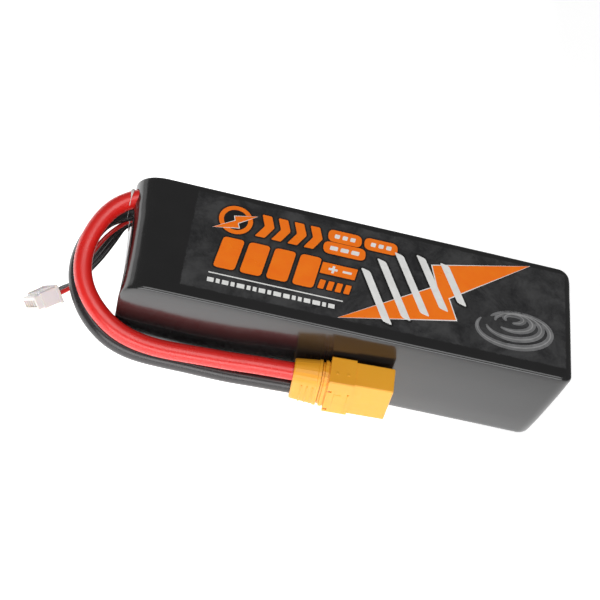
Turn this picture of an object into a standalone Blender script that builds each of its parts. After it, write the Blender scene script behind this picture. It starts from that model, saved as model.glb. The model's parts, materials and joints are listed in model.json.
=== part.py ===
"""Four-cell lithium polymer battery pack with a two-pole power plug and a five-pin balance plug.

All dimensions are in millimetres and are scaled to metres as the meshes are made. The origin is the
centre of the pack's underside. +X runs from the lead end to the rear end, +Y is away from the side
that the power leads lie along, and +Z points up through the label side.
"""

import math

import bmesh
import bpy
import numpy as np
from mathutils import Matrix, Vector

MM = 0.001
GAP = 0.3

# The pack's outside, without the bulge at the lead end.
PACK_LENGTH = 155.0
PACK_WIDTH = 48.0
PACK_HEIGHT = 42.0
LEAD_END_BULGE = 3.0
BULGE_POWER = 2.2
BULGE_FADE = 16.0

# Shrink sleeve.
SLEEVE_SKIN = 0.5
SLEEVE_EDGE_RADIUS = 1.2
LEAD_ROLL_LENGTH = 9.0
LEAD_ROLL_TOP = 9.0
LEAD_ROLL_BOTTOM = 5.0
LEAD_ROLL_FRONT = 1.6
LEAD_ROLL_BACK = 0.6
LEAD_LIP = 7.0
REAR_ROLL_LENGTH = 4.5
REAR_ROLL_FRONT = 2.2
REAR_ROLL_BACK = 4.5
REAR_ROLL_BOTTOM = 1.5
REAR_ROLL_TOP = 1.2
REAR_LIP = 6.0
LIP_RADIUS = 3.0
ROLL_STEPS = 8
BODY_STATIONS = (BULGE_FADE, 40.0, 77.0, 115.0)

# Cells and the plates around them.
CELL_COUNT = 4
CELL_THICKNESS = 8.75
CELL_WIDTH = 45.2
CELL_TERRACE = 4.0
TERRACE_HALF_THICKNESS = 0.5
TAPE_THICKNESS = 0.45
TAPE_REACH = 16.0
TAPE_FRONT = 26.0
TAPE_REAR = 8.0
GUARD_THICKNESS = 0.8
GUARD_INSET = 1.3
TAB_WIDTH = 12.0
TAB_THICKNESS = 0.3
TAB_OFFSET = 9.0
TAB_SHIFT = -3.0
BOARD_THICKNESS = 1.2
TAB_BOARD_REACH = 22.5
TAB_BOARD_BOTTOM = 3.2
TAB_BOARD_TOP = 38.6
END_BOARD_REACH = 21.8
END_BOARD_BOTTOM = 6.2
END_BOARD_TOP = 33.0
COPPER = 0.6
SERIES_BAR_REACH = 4.5
SERIES_BAR_OVERLAP = 2.0
TERMINAL_REACH = 3.9
TERMINAL_RISE = 3.2
SENSE_PAD_RISE = 0.7
SHEET_THICKNESS = 0.3
SHEET_LOW = (-21.0, 6.5)
SHEET_HIGH = (9.0, 36.0)

# Leads and wires.
LEAD_RADIUS = 3.1
WIRE_RADIUS = 0.8
LEAD_CLEARANCE = 0.35
LEAD_POINT_STEP = 4.0
WIRE_POINT_STEP = 3.6

# Power plug, along its own axis from the rear cap's outer face.
PLUG_PITCH = 6.0
PLUG_YAW = -1.0
CONTACT_SPACING = 9.0
CAP_LENGTH = 9.4
CAP_WALL = 1.8
NECK_START = 9.7
COLLAR_START = 12.1
FRONT_START = 20.8
PLUG_LENGTH = 34.0
COLLAR_HEIGHT = 20.6
COLLAR_THICKNESS = 10.4
FRONT_HEIGHT = 19.8
FRONT_THICKNESS = 9.2
LATCH_HEIGHTS = (4.0, -8.2)
LEAD_STOP = 4.2
CORE_RADIUS = 1.95
CONTACT_START = 5.0
CONTACT_RADIUS = 2.8
CUP_RADIUS = 2.3
CUP_DEPTH = 2.6
SOCKET_RADIUS = 2.25
SOCKET_DEPTH = 13.0
MOUTH_DEPTH = 3.0
MOUTH_RADIUS = 2.5

# Balance plug.
PIN_COUNT = 5
PIN_PITCH = 2.5
BALANCE_WIDTH = 14.4
BALANCE_THICKNESS = 5.7
BALANCE_LENGTH = 9.2
BALANCE_FLANGE = 1.0
BALANCE_NOSE = 2.4
CAVITY_REACH = 1.25
CAVITY_RISE = 1.1
CRIMP_REACH = 0.85
CRIMP_RISE = 0.65
BALANCE_ROLL = -34.0
WIRE_STOP = 2.0

# Where the pack's corner at the front of the lead end lies, and the reach of its two ends.
HALF_WIDTH = PACK_WIDTH / 2
BULGE_AT_LEADS = 2.86
OVERALL_LENGTH = PACK_LENGTH + BULGE_AT_LEADS
LEAD_X = (BULGE_AT_LEADS - PACK_LENGTH) / 2
REAR_X = OVERALL_LENGTH / 2

# Depths behind the lead end.
END_BOARD_X = 1.1
SEAL_FRONT = 2.0
SEAL_BACK = 3.6
SEAL_CLEARANCE = 0.36
SHEET_X = 3.9
TERMINAL_X = 4.9
TAB_BOARD_X = 6.5
PLATE_X = 10.5
CELL_X = 14.0
CELL_REAR = 2.1
PLATE_REAR = 4.3
REAR_PAD_X = 1.5
REAR_PAD_THICKNESS = 0.4
REAR_PAD_INSET = 3.6
REAR_PAD_MARGIN = 2.0
CUTTER_REACH = 12.0

# The hole in the sleeve that both power leads come out of.
LEAD_HOLE_LOW = (13.0, 23.5)
LEAD_HOLE_HIGH = (22.1, 37.8)
LEAD_HOLE_RADIUS = 3.8

# The window in the end board that the seal fills.
WINDOW_LOW = (9.6, 12.6)
WINDOW_HIGH = (22.5, 38.2)
RIBBON_SLOT_LOW = (14.7, 13.7)
RIBBON_SLOT_HIGH = (21.8, 24.3)

# Route points of the two power leads, from their terminals to the plug.
POSITIVE_ROUTE = (
    (-71.75, 18.3, 34.1), (-74.5, 18.2, 34.1), (-77.2, 17.5, 34.0), (-80.1, 15.9, 33.6),
    (-83.5, 13.2, 32.8), (-86.6, 9.1, 31.7), (-88.9, 4.0, 30.3), (-90.3, -1.8, 28.7),
    (-90.4, -7.7, 27.0), (-88.9, -13.7, 25.3), (-85.4, -19.5, 23.6), (-80.3, -24.3, 21.9),
    (-74.1, -27.8, 20.2), (-67.2, -29.4, 18.7), (-60.1, -29.8, 17.8), (-52.1, -29.7, 17.7),
    (-43.1, -29.6, 18.2), (-33.1, -29.6, 19.0),
)
NEGATIVE_ROUTE = (
    (-71.7, 18.6, 27.2), (-74.5, 18.5, 27.2), (-77.2, 18.0, 27.1), (-80.5, 16.7, 26.8),
    (-84.4, 14.0, 26.1), (-87.8, 10.0, 25.1), (-90.3, 4.8, 23.8), (-91.8, -1.1, 22.2),
    (-91.9, -7.2, 20.4), (-90.3, -13.2, 18.6), (-87.0, -19.0, 16.8), (-82.0, -24.1, 15.1),
    (-75.8, -27.7, 13.4), (-68.8, -29.3, 11.8), (-61.1, -29.6, 10.9), (-52.1, -29.5, 10.5),
    (-43.1, -29.5, 10.2), (-33.1, -29.6, 10.3),
)

# The five balance wires run as a ribbon: the middle wire's points, and the step to the next wire.
RIBBON_ROUTE = (
    ((-71.5, 19.0, 18.9), (0.0, 0.75, -1.9)),
    ((-74.5, 19.0, 18.9), (0.0, 0.75, -1.9)),
    ((-77.5, 18.6, 18.8), (0.05, 0.8, -1.9)),
    ((-80.4, 16.7, 18.4), (0.3, 0.8, -1.9)),
    ((-83.1, 13.2, 17.6), (0.7, 0.5, -2.0)),
    ((-85.5, 9.0, 16.3), (0.9, 0.2, -2.0)),
    ((-87.5, 4.7, 14.9), (0.8, 0.1, -2.05)),
    ((-89.3, 0.8, 13.4), (0.5, 0.1, -2.1)),
    ((-91.0, -3.2, 11.6), (0.1, 0.35, -2.15)),
    ((-92.8, -6.0, 9.7), (-0.45, 0.75, -2.1)),
    ((-94.9, -8.1, 8.5), (-0.9, 1.0, -2.08)),
)
# Each wire's place in the ribbon at the pack and at the plug, and how far it swings out between.
BALANCE_WIRES = (
    ("balance_wire_1", 2, 2, 0.0),
    ("balance_wire_2", 1, 1, 0.0),
    ("balance_wire_3", 0, 0, 0.0),
    ("balance_wire_4", -2, -1, -1.0),
    ("balance_wire_5", -1, -2, 1.1),
)
SWING_DIRECTION = Vector((0.78, -0.62, 0.0))
BALANCE_REAR = (-98.5, -11.5, 8.05)
BALANCE_HEADING = 221.8
PLUG_REAR = (-12.8, -29.95, 17.0)


def clear_scene():
    """Start from an empty file, whatever was open."""
    for old in list(bpy.data.objects):
        bpy.data.objects.remove(old, do_unlink=True)


def material(name, colour, roughness, metallic=0.0, alpha=1.0):
    """A Principled BSDF with one colour."""
    made = bpy.data.materials.new(name)
    made.use_nodes = True
    shader = made.node_tree.nodes["Principled BSDF"]
    shader.inputs["Base Color"].default_value = (*colour, 1.0)
    shader.inputs["Roughness"].default_value = roughness
    shader.inputs["Metallic"].default_value = metallic
    shader.inputs["Alpha"].default_value = alpha
    return made


def make_materials():
    """Every material of the pack, by the name that the pieces ask for."""
    return {
        "wrap": material("wrap", (0.020, 0.020, 0.022), 0.28),
        "pouch": material("pouch", (0.62, 0.63, 0.65), 0.35, 0.9),
        "board": material("board", (0.03, 0.16, 0.07), 0.45),
        "fibre": material("fibre", (0.035, 0.035, 0.04), 0.7),
        "foam": material("foam", (0.09, 0.09, 0.09), 0.9),
        "tape": material("tape", (0.75, 0.74, 0.70), 0.6),
        "sheet": material("sheet", (0.72, 0.42, 0.06), 0.3),
        "copper": material("copper", (0.72, 0.36, 0.20), 0.3, 1.0),
        "nickel": material("nickel", (0.70, 0.67, 0.60), 0.3, 1.0),
        "aluminium": material("aluminium", (0.80, 0.80, 0.82), 0.35, 1.0),
        "solder": material("solder", (0.66, 0.66, 0.68), 0.25, 1.0),
        "gold": material("gold", (0.90, 0.66, 0.22), 0.2, 1.0),
        "seal": material("seal", (0.82, 0.80, 0.78), 0.4),
        "red_silicone": material("red_silicone", (0.72, 0.03, 0.03), 0.4),
        "black_silicone": material("black_silicone", (0.03, 0.028, 0.028), 0.4),
        "plug_yellow": material("plug_yellow", (0.83, 0.50, 0.05), 0.35),
        "plug_white": material("plug_white", (0.82, 0.78, 0.78), 0.4),
    }


def link(name, mesh, look, parent=None):
    """Put a mesh in the scene as a named object with one material."""
    made = bpy.data.objects.new(name, mesh)
    mesh.materials.append(look)
    bpy.context.scene.collection.objects.link(made)
    made.parent = parent
    return made


def mesh_from(name, work, smooth_degrees=35.0):
    """Turn a bmesh into a mesh with outward faces and smooth round stretches."""
    bmesh.ops.recalc_face_normals(work, faces=work.faces[:])
    mesh = bpy.data.meshes.new(name)
    work.to_mesh(mesh)
    work.free()
    mesh.shade_smooth()
    mesh.set_sharp_from_angle(angle=math.radians(smooth_degrees))
    return mesh


def ring(low, high, radius, segments):
    """A rounded rectangle between two corners of a plane, anticlockwise."""
    radius = min(radius, (high[0] - low[0]) / 2, (high[1] - low[1]) / 2)
    centres = (
        (high[0] - radius, high[1] - radius, 0.0),
        (low[0] + radius, high[1] - radius, 90.0),
        (low[0] + radius, low[1] + radius, 180.0),
        (high[0] - radius, low[1] + radius, 270.0),
    )
    points = []
    for centre_u, centre_v, start in centres:
        for step in range(segments + 1):
            angle = math.radians(start + 90.0 * step / segments)
            points.append((centre_u + radius * math.cos(angle), centre_v + radius * math.sin(angle)))
    return points


def loft(name, stations, look, parent=None, closed=True, corner_segments=4):
    """Skin rounded rectangles in YZ that stand at stations along X.

    A station is (x, low corner, high corner, corner radius). Closed ends are capped.
    """
    work = bmesh.new()
    rings = []
    for x, low, high, radius in stations:
        outline = ring(low, high, radius, corner_segments)
        rings.append([work.verts.new(Vector((x, y, z)) * MM) for y, z in outline])
    for first, second in zip(rings, rings[1:]):
        for index in range(len(first)):
            after = (index + 1) % len(first)
            work.faces.new((first[index], first[after], second[after], second[index]))
    if closed:
        work.faces.new(rings[0])
        work.faces.new(rings[-1])
    return link(name, mesh_from(name, work), look, parent)


def box(name, low, high, look, parent=None, bevel=0.0):
    """A box between two corners, with its edges rounded by a Bevel modifier."""
    work = bmesh.new()
    size = Vector(high) - Vector(low)
    middle = (Vector(high) + Vector(low)) / 2
    place = Matrix.Translation(middle * MM) @ Matrix.Diagonal((*(size * MM), 1.0))
    bmesh.ops.create_cube(work, size=1.0, matrix=place)
    made = link(name, mesh_from(name, work), look, parent)
    if bevel:
        add_bevel(made, bevel)
    return made


def add_bevel(made, width, segments=2):
    """Round every sharp edge."""
    rounding = made.modifiers.new("rounding", "BEVEL")
    rounding.width = width * MM
    rounding.segments = segments
    rounding.limit_method = "ANGLE"


def revolve(name, outline, look, parent=None, place=(0.0, 0.0, 0.0), sides=20):
    """Turn a closed outline of (x, radius) points about the X axis. A point on the axis becomes a tip."""
    work = bmesh.new()
    rings = []
    for x, radius in outline:
        count = sides if radius else 1
        turns = [math.tau * side / count for side in range(count)]
        around = [Vector((x, radius * math.cos(turn), radius * math.sin(turn))) for turn in turns]
        rings.append([work.verts.new(point * MM) for point in around])
    for first, second in zip(rings, rings[1:] + rings[:1]):
        if len(first) == len(second) == 1:
            continue
        for side in range(sides):
            corners = []
            for circle, step in ((first, side), (first, side + 1), (second, side + 1), (second, side)):
                vertex = circle[step % len(circle)]
                if vertex not in corners:
                    corners.append(vertex)
            work.faces.new(corners)
    made = link(name, mesh_from(name, work), look, parent)
    made.location = Vector(place) * MM
    return made


def cut(target, cutter):
    """Subtract a cutter, which stays out of the model."""
    cutter.hide_render = True
    cutter.display_type = "WIRE"
    taking = target.modifiers.new(cutter.name, "BOOLEAN")
    taking.operation = "DIFFERENCE"
    taking.solver = "EXACT"
    taking.object = cutter


def smooth_curve(route, step):
    """Evenly spaced points on the natural cubic spline through a route's points."""
    points = np.array(route, dtype=float)
    spans = np.linalg.norm(np.diff(points, axis=0), axis=1)
    places = np.concatenate(([0.0], np.cumsum(spans)))
    count = len(points)
    system = np.eye(count)
    wanted = np.zeros((count, 3))
    for i in range(1, count - 1):
        system[i, i - 1] = spans[i - 1]
        system[i, i] = 2.0 * (spans[i - 1] + spans[i])
        system[i, i + 1] = spans[i]
        slope_after = (points[i + 1] - points[i]) / spans[i]
        slope_before = (points[i] - points[i - 1]) / spans[i - 1]
        wanted[i] = 6.0 * (slope_after - slope_before)
    bends = np.linalg.solve(system, wanted)
    total = places[-1]
    curve = []
    for place in np.linspace(0.0, total, max(2, round(total / step)) + 1):
        i = min(int(np.searchsorted(places, place, side="right")) - 1, count - 2)
        span = spans[i]
        after = (place - places[i]) / span
        before = 1.0 - after
        lift_before = (before**3 - before) * bends[i]
        lift_after = (after**3 - after) * bends[i + 1]
        on_curve = before * points[i] + after * points[i + 1] + span**2 / 6.0 * (lift_before + lift_after)
        curve.append(Vector(on_curve))
    return curve


def tube(name, points, radius, look, resolution):
    """A round cord along a line of points, as a bevelled curve with filled caps."""
    data = bpy.data.curves.new(name, "CURVE")
    data.dimensions = "3D"
    data.bevel_depth = radius * MM
    data.bevel_resolution = resolution
    data.use_fill_caps = True
    line = data.splines.new("POLY")
    line.points.add(len(points) - 1)
    for target, point in zip(line.points, points):
        target.co = (*(Vector(point) * MM), 1.0)
    data.materials.append(look)
    made = bpy.data.objects.new(name, data)
    bpy.context.scene.collection.objects.link(made)
    return made


def tube_cutter(name, points, radius, look):
    """A cord's path as a mesh a little wider than the cord."""
    guide = tube(name, points, radius, look, 4)
    bpy.context.view_layer.update()
    depsgraph = bpy.context.evaluated_depsgraph_get()
    mesh = bpy.data.meshes.new_from_object(guide.evaluated_get(depsgraph))
    bpy.data.objects.remove(guide, do_unlink=True)
    made = bpy.data.objects.new(name, mesh)
    bpy.context.scene.collection.objects.link(made)
    return made


def turned_frame(name, location, rotation):
    """An empty that places a plug's own axes."""
    frame = bpy.data.objects.new(name, None)
    frame.rotation_mode = "XYZ"
    frame.location = Vector(location) * MM
    frame.rotation_euler = rotation
    bpy.context.scene.collection.objects.link(frame)
    return frame


# ---------------------------------------------------------------- pack


def roll_station(depth, reach, insets, radius, from_lead_end=True, lip=0.0):
    """A sleeve section at a depth behind one end, where the end's roll draws the skin in."""
    inside = 1.0 - min(depth / reach, 1.0)
    share = 1.0 - math.sqrt(max(0.0, 1.0 - inside**2))
    front, back, bottom, top = (inset * share for inset in insets)
    x = LEAD_X + depth if from_lead_end else REAR_X - depth
    low = (-HALF_WIDTH + front + lip, bottom + lip)
    high = (HALF_WIDTH - back - lip, PACK_HEIGHT - top - lip)
    return x, low, high, radius


def bulge(made):
    """Push the lead end outwards towards the side where the leads come out."""
    for vertex in made.data.vertices:
        across = max(0.0, (vertex.co.y / MM + HALF_WIDTH) / PACK_WIDTH)
        depth = vertex.co.x / MM - LEAD_X
        fade = max(0.0, 1.0 - max(depth, 0.0) / BULGE_FADE)
        fade = fade * fade * (3.0 - 2.0 * fade)
        vertex.co.x -= LEAD_END_BULGE * across**BULGE_POWER * fade * MM


def make_sleeve(looks):
    """The heat-shrink sleeve: a thin skin with a soft roll and a folded lip at each end."""
    lead_insets = (LEAD_ROLL_FRONT, LEAD_ROLL_BACK, LEAD_ROLL_BOTTOM, LEAD_ROLL_TOP)
    rear_insets = (REAR_ROLL_FRONT, REAR_ROLL_BACK, REAR_ROLL_BOTTOM, REAR_ROLL_TOP)
    stations = [roll_station(0.0, LEAD_ROLL_LENGTH, lead_insets, LIP_RADIUS, lip=LEAD_LIP)]
    for step in range(ROLL_STEPS + 1):
        angle = math.radians(90.0 * step / ROLL_STEPS)
        depth = LEAD_ROLL_LENGTH * (1.0 - math.cos(angle))
        stations.append(roll_station(depth, LEAD_ROLL_LENGTH, lead_insets, SLEEVE_EDGE_RADIUS))
    for depth in BODY_STATIONS:
        stations.append((LEAD_X + depth, *stations[-1][1:]))
    for step in range(ROLL_STEPS + 1):
        angle = math.radians(90.0 * step / ROLL_STEPS)
        depth = REAR_ROLL_LENGTH * (1.0 - math.sin(angle))
        stations.append(roll_station(depth, REAR_ROLL_LENGTH, rear_insets, SLEEVE_EDGE_RADIUS, False))
    stations.append(roll_station(0.0, REAR_ROLL_LENGTH, rear_insets, LIP_RADIUS, False, lip=REAR_LIP))
    sleeve = loft("shrink_sleeve", stations, looks["wrap"], closed=False)
    bulge(sleeve)
    skin = sleeve.modifiers.new("skin", "SOLIDIFY")
    skin.thickness = SLEEVE_SKIN * MM
    skin.offset = -1.0
    skin.use_even_offset = True
    return sleeve


def window_box(name, grow, front, back, looks):
    """The lead window's outline, grown by a margin, as a block between two depths."""
    low = (LEAD_X + front, WINDOW_LOW[0] - grow, WINDOW_LOW[1] - grow)
    high = (LEAD_X + back, WINDOW_HIGH[0] + grow, WINDOW_HIGH[1] + grow)
    return box(name, low, high, looks["seal"])


def make_lead_end(looks):
    """The board inside the folded lip, with the window that the leads come out of."""
    low = (LEAD_X + END_BOARD_X, -END_BOARD_REACH, END_BOARD_BOTTOM)
    high = (LEAD_X + END_BOARD_X + BOARD_THICKNESS, END_BOARD_REACH, END_BOARD_TOP)
    end_board = box("lead_end_board", low, high, looks["fibre"])
    cut(end_board, window_box("window_cutter", 0.0, -CUTTER_REACH, SEAL_BACK, looks))


def make_exit(looks, sleeve, leads):
    """The translucent sealant behind the window, and the holes for the leads and the ribbon of wires."""
    seal = window_box("lead_seal", -GAP, SEAL_FRONT, SEAL_BACK, looks)
    add_bevel(seal, 0.5, 2)
    low = (LEAD_X - CUTTER_REACH, *RIBBON_SLOT_LOW)
    high = (LEAD_X + TAB_BOARD_X, *RIBBON_SLOT_HIGH)
    slot = box("ribbon_slot_cutter", low, high, looks["seal"])
    for name, points in leads:
        cut(seal, tube_cutter(f"{name}_bore", points, LEAD_RADIUS + SEAL_CLEARANCE, looks["seal"]))
    depths = (-CUTTER_REACH, TERMINAL_X)
    hole = [(LEAD_X + depth, LEAD_HOLE_LOW, LEAD_HOLE_HIGH, LEAD_HOLE_RADIUS) for depth in depths]
    cut(sleeve, loft("lead_hole_cutter", hole, looks["seal"], corner_segments=6))
    cut(seal, slot)
    cut(sleeve, slot)


def cell_levels():
    """The height of each cell's underside."""
    step = CELL_THICKNESS + TAPE_THICKNESS + 2 * GAP
    first = SLEEVE_SKIN + GAP + GUARD_THICKNESS + GAP
    return [first + step * index for index in range(CELL_COUNT)]


def make_cell(index, level, looks):
    """One pouch cell: a cushion-edged block with a thin sealed terrace towards the tabs."""
    half = CELL_WIDTH / 2
    middle = level + CELL_THICKNESS / 2
    front = LEAD_X + CELL_X
    back = REAR_X - CELL_REAR
    thin = TERRACE_HALF_THICKNESS
    sections = (
        (front, thin, 1.0, 0.2),
        (front + CELL_TERRACE, thin, 1.0, 0.2),
        (front + CELL_TERRACE + 1.6, CELL_THICKNESS / 2 - 0.6, 0.4, 1.2),
        (front + CELL_TERRACE + 2.6, CELL_THICKNESS / 2, 0.0, 1.2),
        (back - 1.0, CELL_THICKNESS / 2, 0.0, 1.2),
        (back, CELL_THICKNESS / 2 - 0.8, 0.6, 1.0),
    )
    stations = []
    for x, rise, inset, radius in sections:
        low = (-half + inset, middle - rise)
        high = (half - inset, middle + rise)
        stations.append((x, low, high, radius))
    loft(f"cell_{index}", stations, looks["pouch"], corner_segments=3)


def make_tabs(index, level, looks):
    """A cell's two terminal tabs. Every other cell is turned over, so its tabs change sides."""
    middle = level + CELL_THICKNESS / 2
    side = -1.0 if index % 2 else 1.0
    for pole, metal, place in (("positive", "aluminium", side), ("negative", "nickel", -side)):
        centre = place * TAB_OFFSET + TAB_SHIFT
        low = (LEAD_X + TAB_BOARD_X + BOARD_THICKNESS + GAP, centre - TAB_WIDTH / 2, middle - TAB_THICKNESS / 2)
        high = (LEAD_X + CELL_X - GAP, centre + TAB_WIDTH / 2, middle + TAB_THICKNESS / 2)
        box(f"cell_{index}_{pole}_tab", low, high, looks[metal])


def make_cell_stack(looks):
    """Cells, the tapes between them and the stiff plates above and below."""
    levels = cell_levels()
    for number, level in enumerate(levels, start=1):
        make_cell(number, level, looks)
        make_tabs(number, level, looks)
    for number, level in enumerate(levels[:-1], start=1):
        bottom = level + CELL_THICKNESS + GAP
        low = (LEAD_X + TAPE_FRONT, -TAPE_REACH, bottom)
        high = (REAR_X - TAPE_REAR, TAPE_REACH, bottom + TAPE_THICKNESS)
        box(f"cell_tape_{number}", low, high, looks["tape"])
    plate_reach = HALF_WIDTH - GUARD_INSET
    floor = SLEEVE_SKIN + GAP
    ceiling = PACK_HEIGHT - floor - GUARD_THICKNESS
    for name, bottom in (("bottom_guard_plate", floor), ("top_guard_plate", ceiling)):
        low = (LEAD_X + PLATE_X, -plate_reach, bottom)
        high = (REAR_X - PLATE_REAR, plate_reach, bottom + GUARD_THICKNESS)
        box(name, low, high, looks["fibre"])
    pad_reach = HALF_WIDTH - REAR_PAD_INSET
    low = (REAR_X - REAR_PAD_X, -pad_reach, REAR_PAD_MARGIN)
    high = (REAR_X - REAR_PAD_X + REAR_PAD_THICKNESS, pad_reach, PACK_HEIGHT - REAR_PAD_MARGIN)
    box("rear_end_pad", low, high, looks["foam"])


def make_tab_board(looks):
    """The circuit board that joins the cells in series, with its bars, terminals and pads."""
    front = LEAD_X + TAB_BOARD_X
    low = (front, -TAB_BOARD_REACH, TAB_BOARD_BOTTOM)
    high = (front + BOARD_THICKNESS, TAB_BOARD_REACH, TAB_BOARD_TOP)
    box("tab_board", low, high, looks["board"])
    levels = cell_levels()
    for number in range(1, CELL_COUNT):
        side = -1.0 if number % 2 else 1.0
        centre = side * TAB_OFFSET + TAB_SHIFT
        bottom = levels[number - 1] + CELL_THICKNESS / 2 - SERIES_BAR_OVERLAP
        top = levels[number] + CELL_THICKNESS / 2 + SERIES_BAR_OVERLAP
        low = (front - GAP - COPPER, centre - SERIES_BAR_REACH, bottom)
        high = (front - GAP, centre + SERIES_BAR_REACH, top)
        box(f"series_bar_{number}", low, high, looks["copper"])
    for name, route in (("positive_terminal", POSITIVE_ROUTE), ("negative_terminal", NEGATIVE_ROUTE)):
        _, y, z = route[0]
        low = (LEAD_X + TERMINAL_X, y - TERMINAL_REACH, z - TERMINAL_RISE)
        high = (front - GAP, y + TERMINAL_REACH, z + TERMINAL_RISE)
        box(name, low, high, looks["copper"], bevel=0.3)
    low = (LEAD_X + SHEET_X, *SHEET_LOW)
    high = (LEAD_X + SHEET_X + SHEET_THICKNESS, *SHEET_HIGH)
    box("insulation_sheet", low, high, looks["sheet"])


# ---------------------------------------------------------------- cords


def ribbon_wire(start_slot, end_slot, swing):
    """Route points of one balance wire as it changes places across the ribbon."""
    route = []
    last = len(RIBBON_ROUTE) - 1
    for index, (centre, step) in enumerate(RIBBON_ROUTE):
        share = min(max((index - 2) / (last - 3), 0.0), 1.0)
        blend = share * share * (3.0 - 2.0 * share)
        slot = start_slot + (end_slot - start_slot) * blend
        aside = SWING_DIRECTION * swing * math.sin(math.pi * share)
        route.append(tuple(Vector(centre) + Vector(step) * slot + aside))
    return route


def contact_height(pole):
    """A power contact's height above the plug's axis."""
    return CONTACT_SPACING / 2 if pole == "positive" else -CONTACT_SPACING / 2


def lead_route(route, plug_matrix, pole):
    """A power lead's points, with its last stretch straight along the plug's axis."""
    height = contact_height(pole)
    places = (-13.0, -9.0, -5.0, -1.0, LEAD_STOP)
    inside = [plug_matrix @ Vector((along, 0.0, height)) for along in places]
    return [*route, *(tuple(point) for point in inside)]


def make_cords(looks, plug_matrix, balance_matrix):
    """The two power leads and the five balance wires. Returns the power leads' lines."""
    cords = []
    for name, route, pole, look in (
        ("positive_lead", POSITIVE_ROUTE, "positive", "red_silicone"),
        ("negative_lead", NEGATIVE_ROUTE, "negative", "black_silicone"),
    ):
        points = smooth_curve(lead_route(route, plug_matrix, pole), LEAD_POINT_STEP)
        tube(name, points, LEAD_RADIUS, looks[look], 4)
        cords.append((name, points))
    for name, start_slot, end_slot, swing in BALANCE_WIRES:
        height = -end_slot * PIN_PITCH
        ends = [balance_matrix @ Vector((along, 0.0, height)) for along in (-1.8, 0.0, WIRE_STOP)]
        route = [*ribbon_wire(start_slot, end_slot, swing), *(tuple(point) for point in ends)]
        points = smooth_curve(route, WIRE_POINT_STEP)
        look = "red_silicone" if name.endswith("5") else "black_silicone"
        tube(name, points, WIRE_RADIUS, looks[look], 2)
        x, y, z = route[0]
        low = (x + GAP, y - WIRE_RADIUS, z - SENSE_PAD_RISE)
        high = (LEAD_X + TAB_BOARD_X - GAP, y + WIRE_RADIUS, z + SENSE_PAD_RISE)
        box(name.replace("balance_wire", "sense_pad"), low, high, looks["solder"])
    return cords


# ---------------------------------------------------------------- power plug


def centred(x, thickness, height, radius):
    """A loft station centred on a plug's own axis."""
    return x, (-thickness / 2, -height / 2), (thickness / 2, height / 2), radius


def make_plug_housing(looks, frame):
    """The moulded body: a ringed neck for the cap, a collar and the narrower mating block."""
    stations = (
        centred(NECK_START, 8.8, 18.8, 3.6),
        centred(10.4, 8.8, 18.8, 3.6),
        centred(10.5, 9.8, 20.0, 3.6),
        centred(11.6, 9.8, 20.0, 3.6),
        centred(11.7, 9.0, 19.2, 3.0),
        centred(COLLAR_START, 9.0, 19.2, 3.0),
        centred(COLLAR_START + 0.05, COLLAR_THICKNESS, COLLAR_HEIGHT, 0.5),
        centred(FRONT_START - 0.05, COLLAR_THICKNESS, COLLAR_HEIGHT, 0.5),
        centred(FRONT_START, FRONT_THICKNESS, FRONT_HEIGHT, 0.4),
        centred(PLUG_LENGTH - 0.35, FRONT_THICKNESS, FRONT_HEIGHT, 0.4),
        centred(PLUG_LENGTH, FRONT_THICKNESS - 0.6, FRONT_HEIGHT - 0.6, 0.3),
    )
    housing = loft("plug_housing", stations, looks["plug_yellow"], frame, corner_segments=3)
    start = NECK_START - 2.0
    shoulder = PLUG_LENGTH - MOUTH_DEPTH
    end = PLUG_LENGTH + 2.0
    bore = CONTACT_RADIUS + GAP
    outline = (
        (start, 0.0),
        (start, bore),
        (shoulder, bore),
        (shoulder, MOUTH_RADIUS),
        (end, MOUTH_RADIUS),
        (end, 0.0),
    )
    for pole in ("positive", "negative"):
        place = (0.0, 0.0, contact_height(pole))
        cut(housing, revolve(f"{pole}_socket_cutter", outline, looks["plug_yellow"], frame, place))
    face = -COLLAR_THICKNESS / 2
    for number, height in enumerate(LATCH_HEIGHTS, start=1):
        low = (COLLAR_START + 0.3, face - 1.0, height - 0.5)
        high = (COLLAR_START + 1.7, face + 0.6, height + 0.5)
        cut(housing, box(f"latch_cutter_{number}", low, high, looks["plug_yellow"], frame))
    low = (FRONT_START - 1.6, face - 1.0, 3.2)
    high = (FRONT_START - 1.0, face + 0.4, 3.8)
    cut(housing, box("latch_cutter_3", low, high, looks["plug_yellow"], frame))


def make_plug_cap(looks, frame):
    """The hollow rear cap that slides along the leads, open towards the housing."""
    stations = (
        centred(0.0, 8.2, 18.0, 3.9),
        centred(0.4, 8.8, 18.6, 4.2),
        centred(CAP_LENGTH - 1.2, 9.8, 20.0, 4.4),
        centred(CAP_LENGTH - 0.9, 10.2, 20.4, 4.4),
        centred(CAP_LENGTH, 10.2, 20.4, 4.4),
    )
    cap = loft("plug_rear_cap", stations, looks["plug_yellow"], frame, corner_segments=6)
    hollow = (
        centred(CAP_WALL, 6.7, 16.2, 3.3),
        centred(CAP_LENGTH + 1.0, 7.8, 17.8, 3.6),
    )
    cut(cap, loft("cap_hollow_cutter", hollow, looks["plug_yellow"], frame, corner_segments=6))
    bore = LEAD_RADIUS + LEAD_CLEARANCE
    start = -2.0
    end = CAP_WALL + 1.0
    outline = ((start, 0.0), (start, bore), (end, bore), (end, 0.0))
    for pole in ("positive", "negative"):
        place = (0.0, 0.0, contact_height(pole))
        cut(cap, revolve(f"{pole}_lead_cutter", outline, looks["plug_yellow"], frame, place, 24))


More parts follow.
